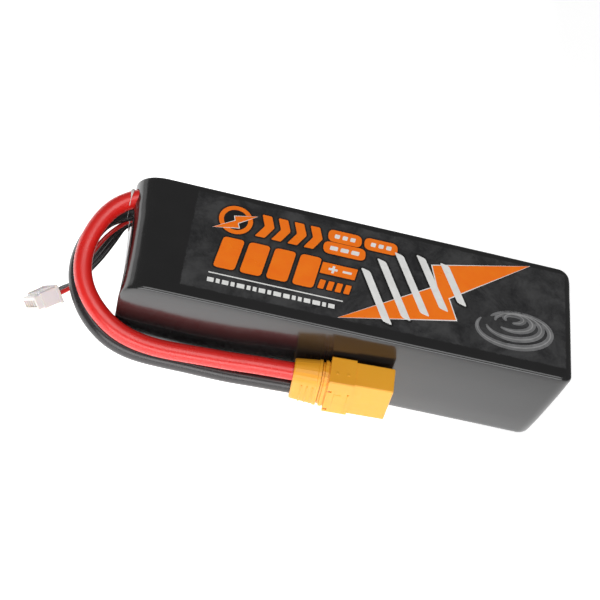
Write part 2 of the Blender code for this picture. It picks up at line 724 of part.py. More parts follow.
def make_contact(pole, looks, frame):
    """A gilded socket contact with its solder cup, and the lead's bare end inside the cup."""
    place = (0.0, 0.0, contact_height(pole))
    end = PLUG_LENGTH - MOUTH_DEPTH - GAP
    cup_bottom = CONTACT_START + CUP_DEPTH
    socket_bottom = end - SOCKET_DEPTH
    outline = (
        (cup_bottom, 0.0),
        (cup_bottom, CUP_RADIUS),
        (CONTACT_START, CUP_RADIUS),
        (CONTACT_START, CONTACT_RADIUS),
        (end, CONTACT_RADIUS),
        (end, SOCKET_RADIUS),
        (socket_bottom, SOCKET_RADIUS),
        (socket_bottom, 0.0),
    )
    revolve(f"plug_contact_{pole}", outline, looks["gold"], frame, place)
    start = LEAD_STOP + GAP
    end = cup_bottom - GAP
    outline = ((start, 0.0), (start, CORE_RADIUS), (end, CORE_RADIUS), (end, 0.0))
    revolve(f"{pole}_lead_core", outline, looks["copper"], frame, place, 16)


# ---------------------------------------------------------------- balance plug


def make_balance_plug(looks, frame):
    """The white five-way housing with its crimped contacts."""
    half_thickness = BALANCE_THICKNESS / 2
    nose = BALANCE_LENGTH - BALANCE_NOSE
    stations = (
        centred(0.0, BALANCE_THICKNESS + 1.0, BALANCE_WIDTH + 0.4, 0.3),
        centred(BALANCE_FLANGE, BALANCE_THICKNESS + 1.0, BALANCE_WIDTH + 0.4, 0.3),
        centred(BALANCE_FLANGE + 0.05, BALANCE_THICKNESS, BALANCE_WIDTH, 0.3),
        centred(nose, BALANCE_THICKNESS, BALANCE_WIDTH, 0.3),
        centred(nose + 0.05, BALANCE_THICKNESS - 0.9, BALANCE_WIDTH - 0.9, 0.3),
        centred(BALANCE_LENGTH - 0.3, BALANCE_THICKNESS - 0.9, BALANCE_WIDTH - 0.9, 0.3),
        centred(BALANCE_LENGTH, BALANCE_THICKNESS - 1.4, BALANCE_WIDTH - 1.4, 0.3),
    )
    housing = loft("balance_plug_housing", stations, looks["plug_white"], frame, corner_segments=2)
    for pin in range(PIN_COUNT):
        height = (pin - (PIN_COUNT - 1) / 2) * PIN_PITCH
        low = (-1.0, -CAVITY_REACH, height - CAVITY_RISE)
        high = (BALANCE_LENGTH + 1.0, CAVITY_REACH, height + CAVITY_RISE)
        cut(housing, box(f"pin_cavity_cutter_{pin + 1}", low, high, looks["plug_white"], frame))
        low = (3.2, -half_thickness - 1.0, height - 0.6)
        high = (5.6, -1.0, height + 0.6)
        cut(housing, box(f"pin_window_cutter_{pin + 1}", low, high, looks["plug_white"], frame))
        low = (WIRE_STOP + 0.4, -CRIMP_REACH, height - CRIMP_RISE)
        high = (BALANCE_LENGTH - 1.0, CRIMP_REACH, height + CRIMP_RISE)
        box(f"balance_contact_{pin + 1}", low, high, looks["solder"], frame, bevel=0.15)


def build():
    """Model the whole pack."""
    clear_scene()
    looks = make_materials()
    plug_turn = (0.0, math.radians(-PLUG_PITCH), math.radians(PLUG_YAW))
    plug = turned_frame("plug_frame", PLUG_REAR, plug_turn)
    balance_turn = (math.radians(BALANCE_ROLL), 0.0, math.radians(BALANCE_HEADING))
    balance = turned_frame("balance_frame", BALANCE_REAR, balance_turn)
    bpy.context.view_layer.update()
    plug_matrix = unscaled(plug.matrix_world)
    balance_matrix = unscaled(balance.matrix_world)

    sleeve = make_sleeve(looks)
    make_lead_end(looks)
    make_cell_stack(looks)
    make_tab_board(looks)
    leads = make_cords(looks, plug_matrix, balance_matrix)
    make_exit(looks, sleeve, leads)
    make_plug_housing(looks, plug)
    make_plug_cap(looks, plug)
    for pole in ("positive", "negative"):
        make_contact(pole, looks, plug)
    make_balance_plug(looks, balance)


def unscaled(matrix):
    """A plug's placing, for points in millimetres."""
    return Matrix.Translation(matrix.translation / MM) @ matrix.to_3x3().to_4x4()


build()
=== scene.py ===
"""Looks of the battery pack: printed shrink film, silicone leads, moulded plugs and the cells inside."""
import json
import math

import bmesh
import bpy
import numpy as np
from mathutils import Matrix, Vector, noise

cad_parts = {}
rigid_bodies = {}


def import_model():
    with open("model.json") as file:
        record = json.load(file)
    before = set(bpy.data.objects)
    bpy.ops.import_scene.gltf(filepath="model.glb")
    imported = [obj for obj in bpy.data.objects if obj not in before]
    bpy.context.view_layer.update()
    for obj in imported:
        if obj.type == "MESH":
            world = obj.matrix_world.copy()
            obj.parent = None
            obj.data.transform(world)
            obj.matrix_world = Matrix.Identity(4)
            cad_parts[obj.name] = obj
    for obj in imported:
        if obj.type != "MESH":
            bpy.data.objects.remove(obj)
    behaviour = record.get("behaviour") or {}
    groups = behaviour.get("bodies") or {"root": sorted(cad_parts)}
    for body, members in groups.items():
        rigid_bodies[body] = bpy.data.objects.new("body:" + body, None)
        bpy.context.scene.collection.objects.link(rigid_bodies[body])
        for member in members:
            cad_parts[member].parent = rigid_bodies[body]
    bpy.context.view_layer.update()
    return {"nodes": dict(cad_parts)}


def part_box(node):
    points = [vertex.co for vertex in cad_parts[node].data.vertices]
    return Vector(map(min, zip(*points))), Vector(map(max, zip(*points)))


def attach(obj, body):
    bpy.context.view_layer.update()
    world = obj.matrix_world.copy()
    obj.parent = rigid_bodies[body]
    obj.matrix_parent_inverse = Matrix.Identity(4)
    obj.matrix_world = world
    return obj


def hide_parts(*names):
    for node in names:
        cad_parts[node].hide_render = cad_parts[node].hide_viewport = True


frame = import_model()
NODES = frame["nodes"]

MM = 0.001
SLEEVE_LOW, SLEEVE_HIGH = (Vector(corner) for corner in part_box("shrink_sleeve"))
TOP = SLEEVE_HIGH.z

# ---------- camera

LENS_MM = 69.98
camera_data = bpy.data.cameras.new("camera")
camera_data.lens = LENS_MM
camera = bpy.data.objects.new("camera", camera_data)
bpy.context.scene.collection.objects.link(camera)
CAMERA_PLACE = Vector((-0.0658, -0.2291, 0.3606))
CAMERA_FORWARD = Vector((0.1250, 0.5540, -0.8230)).normalized()
CAMERA_RIGHT = Vector((0.9690, 0.1110, 0.2220))
CAMERA_RIGHT = (CAMERA_RIGHT - CAMERA_FORWARD * CAMERA_RIGHT.dot(CAMERA_FORWARD)).normalized()
CAMERA_UP = CAMERA_RIGHT.cross(CAMERA_FORWARD)
camera_turn = Matrix((CAMERA_RIGHT, CAMERA_UP, -CAMERA_FORWARD)).transposed()
camera.matrix_world = Matrix.Translation(CAMERA_PLACE) @ camera_turn.to_4x4()
bpy.context.scene.camera = camera

# ---------- material helpers


class Look:
    """A Principled material that is built up from object-space procedural nodes."""

    def __init__(self, name, roughness=0.4, metallic=0.0):
        self.material = bpy.data.materials.new(name)
        self.material.use_nodes = True
        self.tree = self.material.node_tree
        self.shader = self.tree.nodes["Principled BSDF"]
        self.shader.inputs["Roughness"].default_value = roughness
        self.shader.inputs["Metallic"].default_value = metallic
        self.coordinates = self.tree.nodes.new("ShaderNodeTexCoord").outputs["Object"]
        self.height = None

    def put(self, socket, value):
        """Connect an output, or set a constant, on a node's input."""
        if isinstance(value, bpy.types.NodeSocket):
            self.tree.links.new(value, socket)
        else:
            socket.default_value = value

    def set(self, **values):
        """Set or connect the shader's inputs by name, with underscores for spaces."""
        for name, value in values.items():
            self.put(self.shader.inputs[name.replace("_", " ")], value)
        return self

    def math(self, operation, first, second=0.0, third=0.0):
        """One arithmetic node."""
        node = self.tree.nodes.new("ShaderNodeMath")
        node.operation = operation
        for socket, value in zip(node.inputs, (first, second, third)):
            self.put(socket, value)
        return node.outputs["Value"]

    def stretch(self, scale):
        """The object coordinates, scaled by a different factor on each axis."""
        node = self.tree.nodes.new("ShaderNodeMapping")
        self.put(node.inputs["Vector"], self.coordinates)
        node.inputs["Scale"].default_value = scale
        return node.outputs["Vector"]

    def noise(self, scale, detail=4.0, roughness=0.55, distortion=0.0, vector=None):
        """Fractal noise, from 0 to 1."""
        node = self.tree.nodes.new("ShaderNodeTexNoise")
        self.put(node.inputs["Vector"], vector or self.coordinates)
        node.inputs["Scale"].default_value = scale
        node.inputs["Detail"].default_value = detail
        node.inputs["Roughness"].default_value = roughness
        node.inputs["Distortion"].default_value = distortion
        return node.outputs["Fac"]

    def cells(self, scale, feature="F1", vector=None):
        """Distances in a Voronoi pattern."""
        node = self.tree.nodes.new("ShaderNodeTexVoronoi")
        node.feature = feature
        self.put(node.inputs["Vector"], vector or self.coordinates)
        node.inputs["Scale"].default_value = scale
        return node.outputs["Distance"]

    def ramp(self, factor, *stops):
        """A colour ramp of (position, colour) stops. A colour may be one grey value."""
        node = self.tree.nodes.new("ShaderNodeValToRGB")
        self.put(node.inputs["Fac"], factor)
        elements = node.color_ramp.elements
        while len(elements) < len(stops):
            elements.new(0.5)
        for element, (position, colour) in zip(elements, stops):
            element.position = position
            shade = (colour,) * 3 if isinstance(colour, float) else colour
            element.color = (*shade, 1.0)
        return node.outputs["Color"]

    def mix(self, factor, first, second):
        """Blend two colours."""
        node = self.tree.nodes.new("ShaderNodeMix")
        node.data_type = "RGBA"
        self.put(node.inputs[0], factor)
        for index, value in ((6, first), (7, second)):
            self.put(node.inputs[index], (*value, 1.0) if isinstance(value, tuple) else value)
        return node.outputs[2]

    def gloss(self, pattern, low, high):
        """Roughness that wanders between two values over a pattern."""
        self.set(Roughness=self.ramp(pattern, (0.3, low), (0.7, high)))

    def bump(self, height, distance, strength=1.0):
        """Add a relief of a given depth in metres. Later calls add finer relief on top."""
        node = self.tree.nodes.new("ShaderNodeBump")
        node.inputs["Distance"].default_value = distance
        node.inputs["Strength"].default_value = strength
        self.put(node.inputs["Height"], height)
        if self.height is not None:
            self.put(node.inputs["Normal"], self.height)
        self.height = node.outputs["Normal"]
        self.put(self.shader.inputs["Normal"], self.height)
        return self


def between(look, value, low, high, soft):
    """1 where a value lies between two limits, fading over a soft margin."""
    up = look.tree.nodes.new("ShaderNodeMapRange")
    down = look.tree.nodes.new("ShaderNodeMapRange")
    for node, edge, sign in ((up, low, 1.0), (down, high, -1.0)):
        look.put(node.inputs["Value"], value)
        node.inputs["From Min"].default_value = edge - sign * soft
        node.inputs["From Max"].default_value = edge + sign * soft
    return look.math("MULTIPLY", up.outputs["Result"], down.outputs["Result"])


# ---------- materials

LABEL_LOW = Vector((-0.0574, -0.0185))
LABEL_HIGH = Vector((0.0766, 0.0207))


def film_look():
    """Glossy black shrink film with a mottled dark grey print across the label."""
    look = Look("printed_film", 0.2)
    split = look.tree.nodes.new("ShaderNodeSeparateXYZ")
    look.put(split.inputs["Vector"], look.coordinates)
    wobble = look.math("MULTIPLY_ADD", look.noise(260.0, 5.0, 0.7), 0.0016, -0.0008)
    along = look.math("ADD", split.outputs["X"], wobble)
    across = look.math("ADD", split.outputs["Y"], wobble)
    inside = look.math(
        "MULTIPLY",
        between(look, along, LABEL_LOW.x, LABEL_HIGH.x, 0.00025),
        between(look, across, LABEL_LOW.y, LABEL_HIGH.y, 0.00025),
    )
    label = look.math("MULTIPLY", inside, between(look, split.outputs["Z"], TOP - 0.002, TOP + 0.01, 0.0002))
    blotches = look.noise(95.0, 7.0, 0.62, 0.9)
    veins = look.cells(70.0, "DISTANCE_TO_EDGE")
    grain = look.math("MULTIPLY_ADD", look.noise(900.0, 3.0, 0.6), 0.22, -0.11)
    mottle = look.math("ADD", look.math("MULTIPLY_ADD", veins, 0.35, blotches), grain)
    printed = look.ramp(
        mottle,
        (0.36, (0.011, 0.011, 0.012)),
        (0.52, (0.028, 0.028, 0.029)),
        (0.66, (0.046, 0.046, 0.047)),
        (0.85, (0.060, 0.060, 0.061)),
    )
    bare = look.noise(60.0, 5.0)
    bare = look.ramp(bare, (0.3, (0.0090, 0.0088, 0.0090)), (0.75, (0.0125, 0.0122, 0.0125)))
    look.set(Base_Color=look.mix(label, bare, printed))
    smudge = look.noise(45.0, 6.0, 0.65, 0.4)
    look.gloss(smudge, 0.13, 0.24)
    look.set(Specular_IOR_Level=0.5, Coat_Weight=0.45, Coat_Roughness=0.1)
    look.bump(look.noise(38.0, 3.0, 0.5), 0.0005, 0.35)
    look.bump(look.noise(520.0, 3.0, 0.5, vector=look.stretch((0.25, 1.0, 1.0))), 0.00004, 0.35)
    return look.material


def silicone_look(name, deep, light, roughness):
    """Soft silicone insulation: a satin skin with a fine grain and faint handling marks."""
    look = Look(name, roughness)
    shade = look.noise(90.0, 3.0, 0.5)
    look.set(Base_Color=look.ramp(shade, (0.3, deep), (0.72, light)))
    look.gloss(look.noise(160.0, 3.0), roughness - 0.04, roughness + 0.06)
    look.set(Specular_IOR_Level=0.65)
    look.bump(look.noise(700.0, 2.0), 0.00001, 0.2)
    return look.material


def nylon_look(name, deep, light, roughness, subsurface):
    """Injection-moulded nylon with flow shading and a fine spark-eroded grain."""
    look = Look(name, roughness)
    flow = look.noise(70.0, 4.0, 0.5, 0.6, look.stretch((0.35, 1.0, 1.0)))
    look.set(Base_Color=look.ramp(flow, (0.28, deep), (0.74, light)))
    look.gloss(look.noise(700.0, 3.0), roughness - 0.05, roughness + 0.07)
    look.set(Subsurface_Weight=subsurface, Subsurface_Scale=0.002)
    look.set(Subsurface_Radius=(1.0, 0.55, 0.22))
    look.bump(look.noise(1900.0, 3.0, 0.6), 0.00003, 0.35)
    return look.material


def ink_look(name, deep, light, roughness=0.3):
    """Printing ink under the film's gloss, with a faint unevenness."""
    look = Look(name, roughness)
    look.set(Base_Color=look.ramp(look.noise(240.0, 5.0, 0.6), (0.3, deep), (0.7, light)))
    look.gloss(look.noise(90.0, 4.0), roughness - 0.06, roughness + 0.06)
    look.set(Coat_Weight=0.3, Coat_Roughness=0.12)
    look.bump(look.noise(700.0, 2.0), 0.00001, 0.3)
    return look.material


def metal_look(name, deep, light, roughness, scratch=(1.0, 1.0, 1.0)):
    """A metal with a drawn or handled surface and a little tarnish."""
    look = Look(name, roughness, 1.0)
    look.set(Base_Color=look.ramp(look.noise(180.0, 6.0, 0.6), (0.28, deep), (0.7, light)))
    drawn = look.noise(900.0, 3.0, 0.55, vector=look.stretch(scratch))
    look.gloss(drawn, roughness - 0.08, roughness + 0.1)
    look.bump(drawn, 0.00003, 0.35)
    return look.material


def fibre_look(name, deep, light, pitch, roughness=0.6):
    """Woven fibre board: a square weave that shows in colour, gloss and relief."""
    look = Look(name, roughness)
    split = look.tree.nodes.new("ShaderNodeSeparateXYZ")
    look.put(split.inputs["Vector"], look.coordinates)
    waves = [
        look.math("SINE", look.math("MULTIPLY", split.outputs[axis], math.tau / pitch))
        for axis in ("X", "Y", "Z")
    ]
    weave = look.math("MULTIPLY", look.math("ADD", waves[0], waves[2]), waves[1])
    shade = look.math("MULTIPLY_ADD", weave, 0.12, look.noise(240.0, 4.0))
    look.set(Base_Color=look.ramp(shade, (0.3, deep), (0.72, light)))
    look.gloss(look.noise(320.0, 3.0), roughness - 0.08, roughness + 0.08)
    look.bump(weave, 0.00003, 0.5)
    return look.material


def foil_look():
    """Aluminium laminate of a pouch cell, with shallow creases."""
    look = Look("pouch_foil", 0.32, 0.85)
    shade = look.noise(55.0, 5.0)
    look.set(Base_Color=look.ramp(shade, (0.3, (0.50, 0.51, 0.53)), (0.7, (0.70, 0.71, 0.73))))
    look.gloss(look.noise(240.0, 4.0), 0.24, 0.42)
    look.bump(look.noise(120.0, 5.0, 0.65, 1.2), 0.0003, 0.5)
    look.bump(look.cells(260.0, "DISTANCE_TO_EDGE"), 0.00004, 0.3)
    return look.material


def foam_look():
    """Closed-cell foam."""
    look = Look("rear_foam", 0.9)
    bubbles = look.cells(1500.0)
    look.set(Base_Color=look.ramp(bubbles, (0.1, (0.02, 0.02, 0.021)), (0.6, (0.06, 0.06, 0.062))))
    look.gloss(look.noise(500.0, 3.0), 0.82, 0.96)
    look.bump(bubbles, 0.0002, 0.6)
    return look.material


def seal_look():
    """Translucent white sealant with a few trapped bubbles and a dusty skin."""
    look = Look("sealant", 0.38)
    shade = look.noise(210.0, 5.0)
    look.set(Base_Color=look.ramp(shade, (0.3, (0.70, 0.66, 0.62)), (0.7, (0.86, 0.84, 0.81))))
    look.gloss(look.noise(480.0, 4.0), 0.3, 0.5)
    look.set(Subsurface_Weight=0.35, Subsurface_Scale=0.003, Subsurface_Radius=(1.0, 0.9, 0.8))
    look.bump(look.noise(420.0, 4.0, 0.6), 0.0002, 0.35)
    return look.material


# How strongly the floor glows with painted light: falling off along x and held between two limits.
FLOOR_GLOW = 0.95
FLOOR_GLOW_FALL = 5.6
FLOOR_GLOW_LOW, FLOOR_GLOW_HIGH = 0.42, 1.2


def floor_look():
    """A pale, faintly uneven table top that glows with painted light, brightest past the lead end."""
    look = Look("studio_floor", 0.55)
    look.set(Base_Color=look.ramp(look.noise(9.0, 5.0), (0.3, 0.86), (0.7, 0.88)))
    look.gloss(look.noise(14.0, 4.0), 0.5, 0.6)
    split = look.tree.nodes.new("ShaderNodeSeparateXYZ")
    look.put(split.inputs["Vector"], look.coordinates)
    glow = look.math("MULTIPLY_ADD", split.outputs["X"], -FLOOR_GLOW_FALL, FLOOR_GLOW)
    glow = look.math("MAXIMUM", glow, FLOOR_GLOW_LOW)
    look.set(Specular_IOR_Level=0.25, Emission_Color=(1.0, 1.0, 1.0, 1.0))
    look.set(Emission_Strength=look.math("MINIMUM", glow, FLOOR_GLOW_HIGH))
    return look.material


LOOKS = {
    "film": film_look(),
    "red": silicone_look("red_silicone_skin", (0.68, 0.013, 0.010), (0.74, 0.017, 0.013), 0.28),
    "black": silicone_look("black_silicone_skin", (0.014, 0.012, 0.013), (0.024, 0.022, 0.023), 0.25),
    "yellow": nylon_look("amber_nylon", (0.79, 0.33, 0.013), (0.88, 0.41, 0.024), 0.36, 0.06),
    # Darker amber for the latch teeth: painted shade of the latch windows they sit in, not a different
    # nylon.
    "painted_shade_yellow": nylon_look("deep_amber_nylon", (0.46, 0.075, 0.005), (0.56, 0.12, 0.01), 0.4, 0.05),
    "white_nylon": nylon_look("white_nylon", (0.66, 0.61, 0.60), (0.80, 0.765, 0.76), 0.36, 0.3),
    "orange_ink": ink_look("orange_ink", (0.98, 0.175, 0.001), (1.0, 0.215, 0.002)),
    "white_ink": ink_look("white_ink", (0.78, 0.78, 0.76), (0.90, 0.90, 0.88)),
    "dark_ink": ink_look("dark_ink", (0.004, 0.004, 0.004), (0.008, 0.008, 0.008)),
    "grey_ink": ink_look("grey_ink", (0.115, 0.115, 0.117), (0.215, 0.215, 0.218)),
    "pale_ink": ink_look("pale_ink", (0.27, 0.27, 0.27), (0.36, 0.36, 0.36)),
    "fibre": fibre_look("dark_fibre_board", (0.012, 0.013, 0.013), (0.035, 0.036, 0.036), 0.0012),
    "board": fibre_look("green_circuit_board", (0.008, 0.07, 0.025), (0.02, 0.13, 0.05), 0.0009, 0.36),
    "pouch": foil_look(),
    "foam": foam_look(),
    "seal": seal_look(),
    "tape": fibre_look("cell_tape_cloth", (0.62, 0.60, 0.54), (0.80, 0.78, 0.72), 0.0007, 0.7),
    "sheet": nylon_look("amber_film", (0.42, 0.18, 0.01), (0.60, 0.30, 0.03), 0.22, 0.1),
    "copper": metal_look("tinned_copper", (0.60, 0.27, 0.14), (0.86, 0.48, 0.31), 0.3, (0.3, 1.0, 1.0)),
    "nickel": metal_look("nickel_foil", (0.52, 0.49, 0.43), (0.76, 0.73, 0.67), 0.28, (0.2, 1.0, 1.0)),
    "aluminium": metal_look("aluminium_foil", (0.66, 0.66, 0.68), (0.86, 0.86, 0.88), 0.3, (0.2, 1.0, 1.0)),
    "solder": metal_look("bright_tin", (0.48, 0.48, 0.50), (0.78, 0.78, 0.80), 0.24),
    "gold": metal_look("gold_plate", (0.74, 0.46, 0.11), (0.95, 0.70, 0.27), 0.2, (0.15, 1.0, 1.0)),
}

# ---------- mesh helpers


def add(name, mesh, look, body="pack"):
    """Put a mesh in the scene as a piece that rides on a body."""
    made = bpy.data.objects.new(name, mesh)
    mesh.materials.append(LOOKS[look])
    bpy.context.scene.collection.objects.link(made)
    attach(made, body)
    return made


def finish_mesh(name, work, smooth_degrees=35.0):
    """Turn a bmesh into a mesh with outward faces and smooth round stretches."""
    bmesh.ops.recalc_face_normals(work, faces=work.faces[:])
    mesh = bpy.data.meshes.new(name)
    work.to_mesh(mesh)
    work.free()
    mesh.shade_smooth()
    mesh.set_sharp_from_angle(angle=math.radians(smooth_degrees))
    return mesh


def skin_rings(work, rings, looped=False):
    """Join rings of equal length with quads, and the last ring to the first if asked."""
    made = [[work.verts.new(point) for point in ring] for ring in rings]
    if looped:
        made.append(made[0])
    for first, second in zip(made, made[1:]):
        for index in range(len(first)):
            after = (index + 1) % len(first)
            work.faces.new((first[index], first[after], second[after], second[index]))


def rounded_ring(half_y, half_z, radius, segments=6, fill=1):
    """A rounded rectangle round the origin as (y, z) points, with points along its straight sides."""
    corners = (
        (half_y - radius, half_z - radius, 0.0),
        (-half_y + radius, half_z - radius, 90.0),
        (-half_y + radius, -half_z + radius, 180.0),
        (half_y - radius, -half_z + radius, 270.0),
    )
    points = []
    for index, (y, z, start) in enumerate(corners):
        for step in range(segments + 1):
            angle = math.radians(start + 90.0 * step / segments)
            points.append((y + radius * math.cos(angle), z + radius * math.sin(angle)))
        next_y, next_z, next_start = corners[(index + 1) % 4]
        angle = math.radians(next_start)
        target = (next_y + radius * math.cos(angle), next_z + radius * math.sin(angle))
        last = points[-1]
        for step in range(1, fill):
            share = step / fill
            points.append((last[0] + (target[0] - last[0]) * share, last[1] + (target[1] - last[1]) * share))
    return points


def evaluated_mesh(made):
    """A new mesh of an object's shape with its modifiers applied."""
    bpy.context.view_layer.update()
    depsgraph = bpy.context.evaluated_depsgraph_get()
    return bpy.data.meshes.new_from_object(made.evaluated_get(depsgraph))


def smooth_curve(route, step):
    """Evenly spaced points on the natural cubic spline through a route's points."""
    points = np.array(route, dtype=float)
    spans = np.linalg.norm(np.diff(points, axis=0), axis=1)
    places = np.concatenate(([0.0], np.cumsum(spans)))
    count = len(points)
    system = np.eye(count)
    wanted = np.zeros((count, 3))
    for i in range(1, count - 1):
        system[i, i - 1] = spans[i - 1]
        system[i, i] = 2.0 * (spans[i - 1] + spans[i])
        system[i, i + 1] = spans[i]
        slope_after = (points[i + 1] - points[i]) / spans[i]
        slope_before = (points[i] - points[i - 1]) / spans[i - 1]
        wanted[i] = 6.0 * (slope_after - slope_before)
    bends = np.linalg.solve(system, wanted)
    total = places[-1]
    curve = []
    for place in np.linspace(0.0, total, max(2, round(total / step)) + 1):
        i = min(int(np.searchsorted(places, place, side="right")) - 1, count - 2)
        span = spans[i]
        after = (place - places[i]) / span
        before = 1.0 - after
        lift_before = (before**3 - before) * bends[i]
        lift_after = (after**3 - after) * bends[i + 1]
        on_curve = before * points[i] + after * points[i + 1] + span**2 / 6.0 * (lift_before + lift_after)
        curve.append(Vector(on_curve))
    return curve


def cord_piece(name, points, radius, look):
    """A round cord along a fine line of points."""
    data = bpy.data.curves.new(name, "CURVE")
    data.dimensions = "3D"
    data.bevel_depth = radius
    data.bevel_resolution = 8
    data.use_fill_caps = True
    line = data.splines.new("POLY")
    line.points.add(len(points) - 1)
    for target, point in zip(line.points, points):
        target.co = (*point, 1.0)
    line.use_smooth = True
    data.materials.append(LOOKS[look])
    made = bpy.data.objects.new(name, data)
    bpy.context.scene.collection.objects.link(made)
    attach(made, "pack")
    return made


# ---------- cords

LEAD_RADIUS = 0.0031
WIRE_RADIUS = 0.0008
CONTACT_SPACING = 0.009
PIN_PITCH = 0.0025

LEAD_STEP = 0.0016
WIRE_STEP = 0.0008

PLUG_REAR = Vector((-0.0128, -0.02995, 0.0170))
PLUG_YAW = math.radians(-1.0)
PLUG_PITCH = math.radians(-6.0)
PLUG_TURN = Matrix.Rotation(PLUG_YAW, 4, "Z") @ Matrix.Rotation(PLUG_PITCH, 4, "Y")
PLUG = Matrix.Translation(PLUG_REAR) @ PLUG_TURN
BALANCE_REAR = Vector((-0.0985, -0.0115, 0.00805))
BALANCE_HEADING = math.radians(221.8)
BALANCE_ROLL = math.radians(-34.0)
BALANCE_TURN = Matrix.Rotation(BALANCE_HEADING, 4, "Z") @ Matrix.Rotation(BALANCE_ROLL, 4, "X")
BALANCE = Matrix.Translation(BALANCE_REAR) @ BALANCE_TURN
# Distances along each plug's axis of the straight end of its leads or wires.
LEAD_ENDS = (-0.013, -0.009, -0.005, -0.001, 0.0042)
WIRE_ENDS = (-0.0018, 0.0, 0.0020)

POSITIVE_ROUTE = (
    (-0.07175, 0.0183, 0.0341), (-0.0745, 0.0182, 0.0341), (-0.0772, 0.0175, 0.0340),
    (-0.0801, 0.0159, 0.0336), (-0.0835, 0.0132, 0.0328), (-0.0866, 0.0091, 0.0317),
    (-0.0889, 0.0040, 0.0303), (-0.0903, -0.0018, 0.0287), (-0.0904, -0.0077, 0.0270),
    (-0.0889, -0.0137, 0.0253), (-0.0854, -0.0195, 0.0236), (-0.0803, -0.0243, 0.0219),
    (-0.0741, -0.0278, 0.0202), (-0.0672, -0.0294, 0.0187), (-0.0601, -0.0298, 0.0178),
    (-0.0521, -0.0297, 0.0177), (-0.0431, -0.0296, 0.0182), (-0.0331, -0.0296, 0.0190),
)
NEGATIVE_ROUTE = (
    (-0.0717, 0.0186, 0.0272), (-0.0745, 0.0185, 0.0272), (-0.0772, 0.0180, 0.0271),
    (-0.0805, 0.0167, 0.0268), (-0.0844, 0.0140, 0.0261), (-0.0878, 0.0100, 0.0251),
    (-0.0903, 0.0048, 0.0238), (-0.0918, -0.0011, 0.0222), (-0.0919, -0.0072, 0.0204),
    (-0.0903, -0.0132, 0.0186), (-0.0870, -0.0190, 0.0168), (-0.0820, -0.0241, 0.0151),
    (-0.0758, -0.0277, 0.0134), (-0.0688, -0.0293, 0.0118), (-0.0611, -0.0296, 0.0109),
    (-0.0521, -0.0295, 0.0105), (-0.0431, -0.0295, 0.0102), (-0.0331, -0.0296, 0.0103),
)
# The balance ribbon: the middle wire's points, and the step from each wire to the next.
RIBBON_ROUTE = (
    ((-0.0715, 0.0190, 0.0189), (0.0, 0.00075, -0.0019)),
    ((-0.0745, 0.0190, 0.0189), (0.0, 0.00075, -0.0019)),
    ((-0.0775, 0.0186, 0.0188), (0.00005, 0.0008, -0.0019)),
    ((-0.0804, 0.0167, 0.0184), (0.0003, 0.0008, -0.0019)),
    ((-0.0831, 0.0132, 0.0176), (0.0007, 0.0005, -0.0020)),
    ((-0.0855, 0.0090, 0.0163), (0.0009, 0.0002, -0.0020)),
    ((-0.0875, 0.0047, 0.0149), (0.0008, 0.0001, -0.00205)),
    ((-0.0893, 0.0008, 0.0134), (0.0005, 0.0001, -0.0021)),
    ((-0.0910, -0.0032, 0.0116), (0.0001, 0.00035, -0.00215)),
    ((-0.0928, -0.0060, 0.0097), (-0.00045, 0.00075, -0.0021)),
    ((-0.0949, -0.0081, 0.0085), (-0.0009, 0.0010, -0.00208)),
)
# Each wire's place in the ribbon at the pack and at the plug, and how far it swings out between.
BALANCE_WIRES = (
    ("balance_wire_1", 2, 2, 0.0),
    ("balance_wire_2", 1, 1, 0.0),
    ("balance_wire_3", 0, 0, 0.0),
    ("balance_wire_4", -2, -1, -0.0010),
    ("balance_wire_5", -1, -2, 0.0011),
)
SWING_DIRECTION = Vector((0.78, -0.62, 0.0))


def ribbon_wire(start_slot, end_slot, swing):
    """Route points of one balance wire as it changes places across the ribbon."""
    route = []
    last = len(RIBBON_ROUTE) - 1
    for index, (centre, step) in enumerate(RIBBON_ROUTE):
        share = min(max((index - 2) / (last - 3), 0.0), 1.0)
        blend = share * share * (3.0 - 2.0 * share)
        slot = start_slot + (end_slot - start_slot) * blend
        aside = SWING_DIRECTION * swing * math.sin(math.pi * share)
        route.append(tuple(Vector(centre) + Vector(step) * slot + aside))
    return route


def lay_cord(name, route, place, ends, height, step, radius, look):
    """A jacket along a route and then straight into a plug, in place of its plain CAD cord."""
    straight = [tuple(place @ Vector((along, 0.0, height))) for along in ends]
    points = smooth_curve([*route, *straight], step)
    piece = cord_piece(name + "_jacket", points, radius, look)
    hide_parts(name)
    return piece, points


def make_leads():
    """The two power leads, from the sealant to inside the plug's cap."""
    height = CONTACT_SPACING / 2
    return [
        lay_cord("positive_lead", POSITIVE_ROUTE, PLUG, LEAD_ENDS, height, LEAD_STEP, LEAD_RADIUS, "red"),
        lay_cord("negative_lead", NEGATIVE_ROUTE, PLUG, LEAD_ENDS, -height, LEAD_STEP, LEAD_RADIUS, "black"),
    ]


def make_wires():
    """The five balance wires, from the sealant to inside the balance plug. The last one is red."""
    lines = []
    for name, start_slot, end_slot, swing in BALANCE_WIRES:
        route = ribbon_wire(start_slot, end_slot, swing)
        height = -end_slot * PIN_PITCH
        look = "red" if name.endswith("5") else "black"
        lines.append(lay_cord(name, route, BALANCE, WIRE_ENDS, height, WIRE_STEP, WIRE_RADIUS, look))
    return lines


leads = make_leads()
wires = make_wires()

# ---------- shrink film

HALF_WIDTH = SLEEVE_HIGH.y
LEAD_END_REACH = 0.00292
LEAD_X = SLEEVE_LOW.x + LEAD_END_REACH
REAR_X = SLEEVE_HIGH.x
LEAD_END_BULGE = 0.003
BULGE_SHARE = 0.97
BULGE_POWER = 2.2
BULGE_FADE = 0.016
EDGE_RADIUS = 0.0012
LEAD_ROLL = 0.009
LEAD_INSETS = (0.0016, 0.0006, 0.005, 0.009)
REAR_ROLL = 0.0045
REAR_INSETS = (0.0022, 0.0045, 0.0015, 0.0012)
SIDE_CROWN = 0.0007
FILM_THICKNESS = 0.0003
CORNER_STEPS = 5
SIDE_STEPS = 22
BODY_STEPS = 54
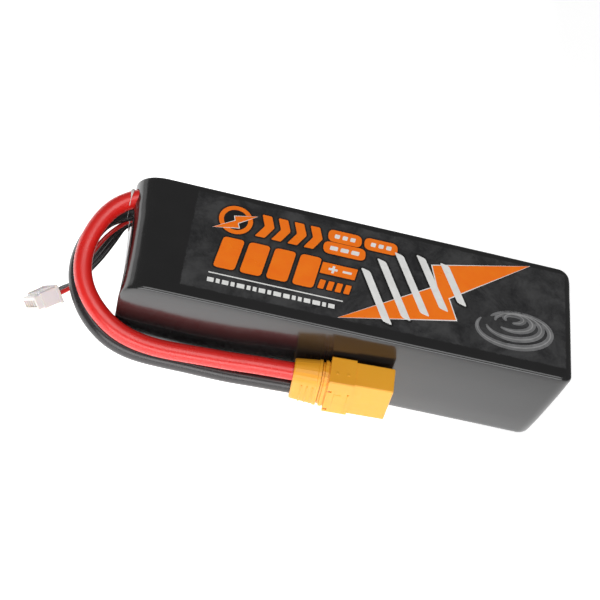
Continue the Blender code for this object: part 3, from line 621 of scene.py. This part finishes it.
# The lips that are folded in at the two open ends: how far in they reach, and how far they curl back.
LIP_STEPS = 5
LEAD_LIP_REACH = 0.0066
LEAD_LIP_CURL = 0.0007
REAR_LIP_REACH = 0.0058
REAR_LIP_CURL = 0.0005
LIP_CURL_TURN = 2.4
LIP_ROUNDING = 0.0014
LIP_PLEAT = 0.0004
LEAD_PLEAT = 0.00035
REAR_PLEAT = 0.00015
LEAD_HOLE_GAP = 0.00025
WIRE_HOLE_GAP = 0.00035


def film_ripple(point):
    """How far the stretched film stands off its nominal face: long soft waves under 0.1 mm."""
    slow = noise.noise(Vector((point.x * 26.0, point.y * 34.0, point.z * 34.0)))
    quick = noise.noise(Vector((point.x * 75.0 + 9.0, point.y * 90.0, point.z * 90.0)))
    return -0.00007 + 0.00006 * slow + 0.000015 * quick


def film_ring(x, low, high, radius, pleat=0.0):
    """One section of the film, rippled, with gathers of a given depth round a drawn-in end."""
    half_y = (high[0] - low[0]) / 2
    half_z = (high[1] - low[1]) / 2
    centre_y = (high[0] + low[0]) / 2
    centre_z = (high[1] + low[1]) / 2
    outline = rounded_ring(half_y, half_z, min(radius, half_y, half_z), CORNER_STEPS, SIDE_STEPS)
    ring = []
    for index, (y, z) in enumerate(outline):
        before = Vector(outline[index - 1])
        after = Vector(outline[(index + 1) % len(outline)])
        along = after - before
        outward = Vector((along.y, -along.x)).normalized()
        point = Vector((x, y + centre_y, z + centre_z))
        towards_edge = abs(point.z - TOP / 2) / (TOP / 2)
        point.y *= 1.0 - SIDE_CROWN * towards_edge**3 / HALF_WIDTH
        rise = film_ripple(point)
        if pleat:
            turn = math.atan2(z, y)
            gather = noise.noise(Vector((math.cos(turn) * 9.0, math.sin(turn) * 9.0, x * 60.0)))
            corner = abs(math.sin(2.0 * turn)) ** 2
            rise -= pleat * (0.35 + corner) * abs(gather)
        ring.append(Vector((point.x, point.y + outward.x * rise, point.z + outward.y * rise)))
    return ring


def roll_section(depth, reach, insets, lip=0.0):
    """The section's two corners at a depth behind one end, where the end's roll draws it in."""
    inside = 1.0 - min(depth / reach, 1.0)
    share = 1.0 - math.sqrt(max(0.0, 1.0 - inside**2))
    front, back, bottom, top = (inset * share + lip for inset in insets)
    return (-HALF_WIDTH + front, bottom), (HALF_WIDTH - back, TOP - top)


def lip_ring(x, reach, insets, inward, curl, share):
    """One section of a folded lip, at a share of its way in from the end's edge."""
    low, high = roll_section(0.0, reach, insets, inward * share)
    depth = curl * math.sin(share * LIP_CURL_TURN) * share
    return film_ring(x + depth, low, high, EDGE_RADIUS + LIP_ROUNDING * share, LIP_PLEAT * share)


def film_rings():
    """Every section from the lead end's lip to the rear end's lip."""
    rings = []
    for step in range(LIP_STEPS):
        share = 1.0 - step / LIP_STEPS
        x = LEAD_X + 0.0002
        rings.append(lip_ring(x, LEAD_ROLL, LEAD_INSETS, LEAD_LIP_REACH, LEAD_LIP_CURL, share))
    for step in range(15):
        angle = math.radians(90.0 * step / 14)
        depth = LEAD_ROLL * (1.0 - math.cos(angle))
        low, high = roll_section(depth, LEAD_ROLL, LEAD_INSETS)
        rings.append(film_ring(LEAD_X + depth, low, high, EDGE_RADIUS, LEAD_PLEAT * math.cos(angle) ** 2))
    start = LEAD_X + LEAD_ROLL
    end = REAR_X - REAR_ROLL
    low, high = roll_section(LEAD_ROLL, LEAD_ROLL, LEAD_INSETS)
    for step in range(1, BODY_STEPS):
        rings.append(film_ring(start + (end - start) * step / BODY_STEPS, low, high, EDGE_RADIUS))
    for step in range(11):
        angle = math.radians(90.0 * step / 10)
        depth = REAR_ROLL * (1.0 - math.sin(angle))
        low, high = roll_section(depth, REAR_ROLL, REAR_INSETS)
        rings.append(film_ring(REAR_X - depth, low, high, EDGE_RADIUS, REAR_PLEAT * math.sin(angle) ** 2))
    for step in range(1, LIP_STEPS + 1):
        x = REAR_X - 0.0001
        share = step / LIP_STEPS
        rings.append(lip_ring(x, REAR_ROLL, REAR_INSETS, REAR_LIP_REACH, -REAR_LIP_CURL, share))
    return rings


def bulged(point):
    """The lead end pushed outwards towards the side where the leads come out."""
    across = min(max((point.y + HALF_WIDTH) / (2.0 * HALF_WIDTH), 0.0), 1.0)
    fade = max(0.0, 1.0 - max(point.x - LEAD_X, 0.0) / BULGE_FADE)
    fade = fade * fade * (3.0 - 2.0 * fade)
    push = LEAD_END_BULGE * BULGE_SHARE * across**BULGE_POWER * fade
    return Vector((point.x - push, point.y, point.z))


def bore_cutter(name, points, radius):
    """A short stretch of a cord's path near the lead end, as a solid for a Boolean."""
    near = [point for point in points if LEAD_X - 0.007 < point[0] < LEAD_X + 0.004]
    guide = cord_piece(name, near, radius, "seal")
    mesh = evaluated_mesh(guide)
    bpy.data.objects.remove(guide, do_unlink=True)
    made = bpy.data.objects.new(name, mesh)
    bpy.context.scene.collection.objects.link(made)
    return made


def apply_modifiers(made):
    """Turn an object's evaluated shape into its own mesh."""
    mesh = evaluated_mesh(made)
    old = made.data
    made.modifiers.clear()
    made.data = mesh
    bpy.data.meshes.remove(old)


def make_film():
    """The printed shrink film, folded in at both ends, with tight holes for the leads and wires."""
    work = bmesh.new()
    rings = [[bulged(point) for point in ring] for ring in film_rings()]
    skin_rings(work, rings)
    mesh = finish_mesh("printed_film", work, 50.0)
    film = add("printed_film", mesh, "film")
    skin = film.modifiers.new("thickness", "SOLIDIFY")
    skin.thickness = FILM_THICKNESS
    skin.offset = -1.0
    lead_hole = LEAD_RADIUS + LEAD_HOLE_GAP
    wire_hole = WIRE_RADIUS + WIRE_HOLE_GAP
    holes = [bore_cutter(piece.name + "_hole", points, lead_hole) for piece, points in leads]
    holes += [bore_cutter(piece.name + "_hole", points, wire_hole) for piece, points in wires]
    for hole in holes:
        taking = film.modifiers.new(hole.name, "BOOLEAN")
        taking.operation = "DIFFERENCE"
        taking.solver = "EXACT"
        taking.object = hole
    apply_modifiers(film)
    for hole in holes:
        bpy.data.objects.remove(hole, do_unlink=True)
    film.data.set_sharp_from_angle(angle=math.radians(50.0))
    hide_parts("shrink_sleeve")


# ---------- label print

INK = 0.00003
INK_LEVEL = 0.00004
DARK_LEVEL, BACK_LEVEL, COLOUR_LEVEL, FRONT_LEVEL, TOP_LEVEL = (INK_LEVEL * level for level in range(1, 6))
OUTLINE = 0.00055
FACET = 0.003
# The three rounded tags, in millimetres: left, bottom and width.
TAGS = ((-10.6, 12.0, 12.0), (-11.8, 6.7, 15.0), (2.4, 12.0, 12.0))
TAG_HEIGHT = 5.1
# The white streaks, in millimetres: left, bottom and length.
STREAKS = (
    (11.2, -15.8, 22.0), (17.6, -12.6, 24.5), (24.0, -9.2, 25.5), (30.6, -5.6, 22.5), (37.0, -1.8, 17.0),
)
STREAK_WIDTH = 3.4
STREAK_LEAN = 0.42
RULE_ENDS = (-49.0, -3.0)
BLOCK_WIDTHS = (2.2, 1.3, 2.2, 1.3, 2.6, 1.3, 1.3, 2.2, 1.3, 2.6, 2.2, 1.3, 1.3, 2.2, 2.6, 1.3, 2.2)
BADGE_CENTRE = (-43.0, 11.9)
RIPPLE_CENTRE = (57.6, -7.6)
RIPPLE_TURN = 6.0


def outset(points, distance):
    """An outline moved outwards by a distance, with mitred corners. Its points run anticlockwise."""
    moved = []
    for index, point in enumerate(points):
        before = (point - points[index - 1]).normalized()
        after = (points[(index + 1) % len(points)] - point).normalized()
        normal = Vector((before.y + after.y, -before.x - after.x))
        reach = min(2.0 / max(normal.length_squared, 0.2), 2.6)
        moved.append(point + normal * distance * reach)
    return moved


def rounded(points, radius, segments=5):
    """An outline with its corners rounded."""
    smooth = []
    for index, point in enumerate(points):
        before = points[index - 1] - point
        after = points[(index + 1) % len(points)] - point
        reach = min(radius, before.length * 0.45, after.length * 0.45)
        start = point + before.normalized() * reach
        end = point + after.normalized() * reach
        for step in range(segments + 1):
            share = step / segments
            low = start.lerp(point, share)
            high = point.lerp(end, share)
            smooth.append(low.lerp(high, share))
    return smooth


def outline(*pairs):
    """Millimetre pairs as points in metres."""
    return [Vector((x * MM, y * MM)) for x, y in pairs]


def slanted_bar(x, y, width, height, slant=0.15, radius=0.6):
    """An upright bar that leans to the right, with rounded corners."""
    lean = height * slant
    top = y + height
    return rounded(outline((x, y), (x + width, y), (x + width + lean, top), (x + lean, top)), radius * MM)


def disc(x, y, radius, steps=48):
    """Points round a circle."""
    angles = [math.tau * step / steps for step in range(steps)]
    return outline(*((x + radius * math.cos(angle), y + radius * math.sin(angle)) for angle in angles))


def band(x, y, radius, half_height, width, start, end, steps=56):
    """An arc of a tilted elliptical band that tapers towards both of its ends."""
    outer = []
    inner = []
    for step in range(steps + 1):
        share = step / steps
        angle = math.radians(start + (end - start) * share)
        taper = width * (0.2 + 0.8 * math.sin(math.pi * share) ** 0.6)
        for line, grow in ((outer, taper / 2), (inner, -taper / 2)):
            spot = Vector(((radius + grow) * math.cos(angle), (half_height + grow) * math.sin(angle)))
            spot.rotate(Matrix.Rotation(math.radians(RIPPLE_TURN), 2))
            line.append((Vector((x, y)) + spot) * MM)
    return outer + inner[::-1]


def label_height(x, y):
    """The film's top face under the print."""
    return TOP + film_ripple(Vector((x, y, TOP)))


def print_piece(name, shapes, look, level):
    """Printed shapes as one thin piece that follows the film."""
    work = bmesh.new()
    for shape in shapes:
        face = work.faces.new([work.verts.new((point.x, point.y, 0.0)) for point in shape])
        face.normal_update()
        if face.normal.z < 0.0:
            face.normal_flip()
    bmesh.ops.triangulate(work, faces=work.faces[:])
    for axis in (0, 1):
        spots = [vertex.co[axis] for vertex in work.verts]
        normal = Vector((1.0 - axis, axis, 0.0))
        for line in range(int((max(spots) - min(spots)) / FACET) + 1):
            place = normal * (min(spots) + FACET * (line + 0.5))
            geometry = [*work.verts, *work.edges, *work.faces]
            bmesh.ops.bisect_plane(work, geom=geometry, dist=1e-7, plane_co=place, plane_no=normal)
    bmesh.ops.remove_doubles(work, verts=work.verts[:], dist=1e-7)
    for vertex in work.verts:
        vertex.co.z = label_height(vertex.co.x, vertex.co.y) + level
    bmesh.ops.recalc_face_normals(work, faces=work.faces[:])
    mesh = bpy.data.meshes.new(name)
    work.to_mesh(mesh)
    work.free()
    ink = add(name, mesh, look).modifiers.new("ink", "SOLIDIFY")
    ink.thickness = INK
    ink.offset = -1.0


def charge_gauge():
    """The row of four large cell bars."""
    return [slanted_bar(-48.0 + 9.0 * index, -8.9, 7.3, 13.0, 0.15, 1.5) for index in range(4)]


def chevrons():
    """The row of four smaller arrowheads."""
    shapes = []
    for index in range(4):
        x = -35.8 + 5.7 * index
        corners = ((0.0, 7.1), (3.4, 7.1), (6.3, 12.0), (4.9, 16.7), (1.5, 16.7), (2.9, 12.0))
        shapes.append(rounded(outline(*((x + across, up) for across, up in corners)), 0.5 * MM))
    return shapes


def pills():
    """Three rounded tags."""
    shapes = []
    for x, y, width in TAGS:
        corners = outline((x, y), (x + width, y), (x + width, y + TAG_HEIGHT), (x, y + TAG_HEIGHT))
        shapes.append(rounded(corners, 2.6 * MM, 8))
    return shapes


def bolt(x, y, scale=1.0):
    """A generic zigzag flash, long and flat."""
    points = ((0.0, 0.0), (40.6, 9.2), (37.6, 17.4), (67.0, 38.9), (31.2, 29.6), (33.4, 21.4))
    return outline(*((x + across * scale, y + up * scale) for across, up in points))


def streaks():
    """White parallel bars that cross the flash."""
    shapes = []
    for x, y, length in STREAKS:
        near = x + STREAK_WIDTH
        lean = STREAK_LEAN * length
        foot = ((x, y), (near, y - 0.9))
        head = ((near - lean, y + length * 0.86), (x - lean, y + length * 0.9))
        shapes.append(rounded(outline(*foot, *head), 0.9 * MM))
    return shapes


def make_label():
    """All of the print: bars, arrowheads, tags, flash, streaks and ripples, with no lettering."""
    bars = charge_gauge()
    arrows = chevrons()
    tags = pills()
    box = [outline((-12.0, -2.0), (0.2, -2.0), (1.1, 2.7), (-11.3, 2.7))]
    small = [slanted_bar(-12.2 + 3.0 * index, -8.3, 2.0, 3.7, 0.2, 0.3) for index in range(4)]
    ring_outer = disc(*BADGE_CENTRE, 5.9)
    flash = bolt(-3.9, -18.1)
    small_flash = bolt(-50.3, 6.9, 0.215)
    orange = [*bars, *arrows, *tags, *box, *small]
    dark = [outset(shape, OUTLINE) for shape in (*bars, *arrows, *tags, *box, ring_outer)]
    dark += [outset(shape, OUTLINE * 0.8) for shape in small]
    dark += [outset(shape, OUTLINE * 1.3) for shape in streaks()]
    print_piece("label_dark_outlines", dark, "dark_ink", DARK_LEVEL)
    print_piece("label_badge_ring", [ring_outer], "orange_ink", BACK_LEVEL)
    print_piece("label_badge_centre", [disc(*BADGE_CENTRE, 4.2)], "dark_ink", COLOUR_LEVEL)
    print_piece("label_flash_edge", [outset(flash, 0.00042)], "white_ink", BACK_LEVEL)
    print_piece("label_orange_shapes", [*orange, flash], "orange_ink", COLOUR_LEVEL)
    print_piece("label_badge_flash_edge", [outset(small_flash, 0.0003)], "white_ink", FRONT_LEVEL)
    print_piece("label_badge_flash", [small_flash], "orange_ink", TOP_LEVEL)
    white = []
    for x, y, width in TAGS:
        for index in range(3):
            pitch = (width - 3.6) / 3
            white.append(slanted_bar(x + 2.2 + index * pitch, y + 1.7, pitch - 1.0, 1.7, 0.15, 0.4))
    for x in (-9.2, -4.2):
        white.append(slanted_bar(x, -0.1, 3.2, 0.9, 0.15, 0.2))
    for x, y in ((-8.1, -1.15), (-7.9, 0.8)):
        white.append(slanted_bar(x, y, 0.9, 1.05, 0.15, 0.1))
    left, right = RULE_ENDS
    white.append(outline((left, -11.75), (right, -11.75), (right, -11.3), (left, -11.3)))
    for width in BLOCK_WIDTHS:
        white.append(slanted_bar(left, -15.2, width, 1.7, 0.0, 0.15))
        left += width + 0.75
    print_piece("label_white_marks", white, "white_ink", FRONT_LEVEL)
    print_piece("label_white_streaks", streaks(), "white_ink", FRONT_LEVEL)
    arcs = []
    lines = []
    for index in range(4):
        x, y = RIPPLE_CENTRE
        y += 1.5 * index
        radius = 13.4 - 3.3 * index
        start = 150.0 + 36.0 * index
        arcs.append(band(x, y, radius, radius * 0.52, 2.5, start, start + 318.0))
        lines.append(band(x, y, radius, radius * 0.52, 0.4, start + 10.0, start + 300.0))
    print_piece("label_ripples", arcs, "grey_ink", DARK_LEVEL)
    print_piece("label_ripple_lines", lines, "pale_ink", BACK_LEVEL)


make_film()
make_label()

# ---------- moulded details and sealant

# Sizes on the power plug's own axes, in millimetres.
COLLAR_FACE = 5.2
COLLAR_TOP = 10.3
ROOT = 0.2
RIB_RISE = 0.26
RIB_HALF_WIDTH = 0.25
STRIP_RISE = 0.09
TOOTH_HALF_HEIGHT = 0.4
MARK_RISE = 0.12
TONGUE_HALF_THICKNESS = 3.4
TONGUE_HALF_HEIGHT = 8.4
TONGUE_WALL = 0.5
# The beads of sealant, in metres.
BEAD_TOP = math.radians(8.0)
BEAD_STEPS = 40
BEAD_SIDES = 12
BEAD_THIN = 0.00006
BEAD_THICK = 0.0008
BEAD_GAP = 0.0003
WIRE_BEAD_HALF_WIDTH = 0.0021
WIRE_BEAD_HALF_HEIGHT = 0.0052


def local_block(name, place, low, high, look, body, bevel=0.00012):
    """A small rounded block between two corners, in millimetres on a plug's own axes."""
    low = Vector(low) * MM
    high = Vector(high) * MM
    work = bmesh.new()
    size = Matrix.Diagonal((*(high - low), 1.0))
    bmesh.ops.create_cube(work, size=1.0, matrix=place @ Matrix.Translation((low + high) / 2) @ size)
    bmesh.ops.bevel(work, geom=work.edges[:], offset=bevel, segments=2, profile=0.5, affect="EDGES")
    add(name, finish_mesh(name, work), look, body)


def cap_half_thickness(x):
    """Half the rear cap's thickness at a distance from its outer face, in millimetres."""
    return 4.4 + 0.5 * (x - 0.4) / 7.8


def make_cap_ribs():
    """Three thin moulded ribs down each broad side of the sliding cap."""
    for side, sign in (("front", -1.0), ("back", 1.0)):
        for number, x in enumerate((3.4, 5.4, 7.3), start=1):
            face = cap_half_thickness(x)
            inner, outer = sorted((sign * (face - ROOT), sign * (face + RIB_RISE)))
            low = (x - RIB_HALF_WIDTH, inner, -6.6)
            high = (x + RIB_HALF_WIDTH, outer, 4.2)
            local_block(f"cap_rib_{side}_{number}", PLUG, low, high, "yellow", "plug_cap")


def make_neck_tongue():
    """The thin tongue of the housing that the cap slides over."""
    work = bmesh.new()
    rings = []
    for x, inset in ((8.3, 0.0), (9.9, 0.0), (9.9, TONGUE_WALL), (8.3, TONGUE_WALL)):
        half_y = TONGUE_HALF_THICKNESS - inset
        half_z = TONGUE_HALF_HEIGHT - inset
        section = rounded_ring(half_y, half_z, 2.8, 6, 1)
        rings.append([PLUG @ (Vector((x, y, z)) * MM) for y, z in section])
    skin_rings(work, rings, looped=True)
    add("plug_neck_tongue", finish_mesh("plug_neck_tongue", work), "yellow")


def make_collar_details():
    """Latch teeth, the panel lines of the mould and its ejector marks."""
    # The latch teeth take the darker amber, painted shade of the recessed latch windows.
    for number, height in enumerate((4.0, -8.2), start=1):
        low = (12.5, 0.1 - COLLAR_FACE, height - TOOTH_HALF_HEIGHT)
        high = (13.4, 0.55 - COLLAR_FACE, height + TOOTH_HALF_HEIGHT)
        local_block(f"latch_tooth_{number}", PLUG, low, high, "painted_shade_yellow", "pack")
    for side, sign in (("front", -1.0), ("back", 1.0)):
        strips = (
            ("post", 19.3, 19.55, -9.0, 3.0),
            ("edge", 14.6, 14.85, -7.4, 2.6),
            ("rail", 14.6, 17.2, 2.4, 2.65),
        )
        for label, left, right, bottom, top in strips:
            inner, outer = sorted((sign * (COLLAR_FACE - ROOT), sign * (COLLAR_FACE + STRIP_RISE)))
            low = (left, inner, bottom)
            high = (right, outer, top)
            name = f"collar_{label}_{side}"
            local_block(name, PLUG, low, high, "yellow", "pack", 0.00006)
    for number, x in enumerate((14.6, 18.4), start=1):
        low = (x - 0.45, -1.6, COLLAR_TOP - ROOT)
        high = (x + 0.45, -0.7, COLLAR_TOP + MARK_RISE)
        local_block(f"ejector_mark_{number}", PLUG, low, high, "yellow", "pack")


def make_balance_rails():
    """The keying rails on one broad side of the balance housing."""
    for number, height in enumerate((-6.1, 6.1), start=1):
        low = (1.05, -3.3, height - 0.6)
        high = (6.8, -2.7, height + 0.6)
        local_block(f"balance_rail_{number}", BALANCE, low, high, "white_nylon", "pack")
    low = (1.05, 2.7, -2.4)
    high = (3.4, 3.2, 2.4)
    local_block("balance_grip", BALANCE, low, high, "white_nylon", "pack")


def lump(turn, seed):
    """How thick a bead of sealant is at an angle round its hole, from 0 to 1."""
    fullness = 0.5 + 0.5 * math.cos(turn - BEAD_TOP)
    unevenness = noise.noise(Vector((math.cos(turn) * 1.7, math.sin(turn) * 1.7, seed)))
    return max(0.0, fullness**1.8 + 0.25 * unevenness)


def make_bead(name, centre, half_y, half_z, seed):
    """An uneven ring of sealant on the film round a hole, thickest towards the back."""
    along = Vector((1.0, 0.0, 0.0))
    work = bmesh.new()
    rings = []
    for step in range(BEAD_STEPS):
        turn = math.tau * step / BEAD_STEPS
        outward = Vector((0.0, math.cos(turn), math.sin(turn)))
        middle = centre + Vector((0.0, half_y * math.cos(turn), half_z * math.sin(turn)))
        size = BEAD_THIN + (BEAD_THICK - BEAD_THIN) * lump(turn, seed)
        ring = []
        for corner in range(BEAD_SIDES):
            angle = math.tau * corner / BEAD_SIDES
            ring.append(middle + (outward * math.cos(angle) + along * math.sin(angle)) * size)
        rings.append(ring)
    skin_rings(work, rings, looped=True)
    add(name, finish_mesh(name, work, 80.0), "seal")


def film_crossing(points):
    """The point where a cord comes out through the film at the lead end."""
    for point in points:
        across = (point[1] + HALF_WIDTH) / (2.0 * HALF_WIDTH)
        if point[0] < LEAD_X - LEAD_END_BULGE * across**BULGE_POWER:
            return Vector(point)
    return Vector(points[0])


make_cap_ribs()
make_neck_tongue()
make_collar_details()
make_balance_rails()
for seed, (piece, points) in enumerate(leads):
    reach = LEAD_RADIUS + BEAD_GAP
    make_bead(f"sealant_bead_{seed + 1}", film_crossing(points), reach, reach, 3.0 + seed)
ribbon_middle = film_crossing(wires[2][1])
make_bead("sealant_bead_3", ribbon_middle, WIRE_BEAD_HALF_WIDTH, WIRE_BEAD_HALF_HEIGHT, 7.0)

# ---------- looks of the CAD pieces that keep their shape

NODE_LOOKS = {
    "white_nylon": ("balance_plug_housing",),
    "aluminium": ("_positive_tab",),
    "nickel": ("_negative_tab",),
    "tape": ("cell_tape",),
    "pouch": ("cell_",),
    "fibre": ("lead_end_board", "top_guard_plate", "bottom_guard_plate"),
    "foam": ("rear_end_pad",),
    "board": ("tab_board",),
    "sheet": ("insulation_sheet",),
    "copper": ("series_bar", "_terminal", "_lead_core"),
    "solder": ("sense_pad", "balance_contact"),
    "yellow": ("plug_rear_cap", "plug_housing"),
    "gold": ("plug_contact",),
    "seal": ("lead_seal",),
}
BEVELS = {"plug_housing": 0.00025, "plug_rear_cap": 0.00025, "balance_plug_housing": 0.0002}
BEVEL_ANGLE = math.radians(40.0)


def node_look(name):
    """The first look that has a part of a CAD node's name."""
    return next(look for look, parts in NODE_LOOKS.items() if any(part in name for part in parts))


for name, node in NODES.items():
    if node.type == "MESH" and not node.hide_render:
        node.data.materials.clear()
        node.data.materials.append(LOOKS[node_look(name)])
    if name in BEVELS:
        rounding = node.modifiers.new("moulded_edges", "BEVEL")
        rounding.width = BEVELS[name]
        rounding.segments = 3
        rounding.limit_method = "ANGLE"
        rounding.angle_limit = BEVEL_ANGLE

# ---------- the pieces at each cord's end, gathered into lists that are not used further

PLUG_DETAILS = ("cap_rib", "plug_neck_tongue", "latch_tooth", "collar_", "ejector_mark")
BALANCE_DETAILS = ("balance_rail", "balance_grip")


def made_pieces(prefixes):
    """The small pieces on a plug, from how their names start."""
    return [made for made in bpy.data.objects if made.name.startswith(prefixes)]


def nearest_contact(point):
    """The crimped contact that a wire's end goes to."""

    def distance(node):
        middle = sum((Vector(corner) for corner in node.bound_box), Vector()) / 8.0
        return (node.matrix_world @ middle - Vector(point)).length

    return min((NODES[f"balance_contact_{pin}"] for pin in range(1, 6)), key=distance)


for piece, points in leads:
    side = "positive" if piece.name.startswith("positive") else "negative"
    on_cord = [NODES["plug_housing"], NODES["lead_seal"]]
    on_cord += [NODES[f"{side}_lead_core"], NODES[f"plug_contact_{side}"]]
    if side == "positive":
        on_cord += [NODES["plug_rear_cap"], *made_pieces(PLUG_DETAILS)]
for number, (piece, points) in enumerate(wires, start=1):
    on_cord = [NODES["balance_plug_housing"], NODES["lead_seal"], nearest_contact(points[-1])]
    if number == 1:
        on_cord += made_pieces(BALANCE_DETAILS)

# ---------- stage


FLOOR_HALF_SIZE = 3.0
FLOOR_GAP = 0.0001
WORLD_STRENGTH = 0.18


def make_floor():
    """A wide pale table top under the pack."""
    work = bmesh.new()
    bmesh.ops.create_grid(work, x_segments=4, y_segments=4, size=FLOOR_HALF_SIZE)
    mesh = bpy.data.meshes.new("studio_floor")
    work.to_mesh(mesh)
    work.free()
    mesh.materials.append(floor_look())
    floor = bpy.data.objects.new("studio_floor", mesh)
    floor.location.z = -FLOOR_GAP
    bpy.context.scene.collection.objects.link(floor)


def softbox(name, place, target, width, height, power):
    """A rectangular area light aimed at a point."""
    data = bpy.data.lights.new(name, "AREA")
    data.shape = "RECTANGLE"
    data.size = width
    data.size_y = height
    data.energy = power
    light = bpy.data.objects.new(name, data)
    light.location = place
    light.rotation_euler = (Vector(target) - Vector(place)).to_track_quat("-Z", "Y").to_euler()
    bpy.context.scene.collection.objects.link(light)


def make_world():
    """Even grey surroundings."""
    world = bpy.data.worlds.new("studio")
    world.use_nodes = True
    background = world.node_tree.nodes["Background"]
    background.inputs["Color"].default_value = (1.0, 1.0, 1.0, 1.0)
    background.inputs["Strength"].default_value = WORLD_STRENGTH
    bpy.context.scene.world = world


make_floor()
make_world()
softbox("overhead", (0.05, -0.25, 1.1), (0.0, 0.0, 0.0), 1.1, 0.7, 6.5)
softbox("front", (0.0, -1.1, 0.45), (0.0, 0.0, 0.02), 1.4, 0.6, 9.5)
softbox("left_back", (-0.95, 0.72, 0.2), (-0.07, 0.0, 0.03), 0.5, 0.3, 0.35)
bpy.context.scene.view_settings.view_transform = "Standard"
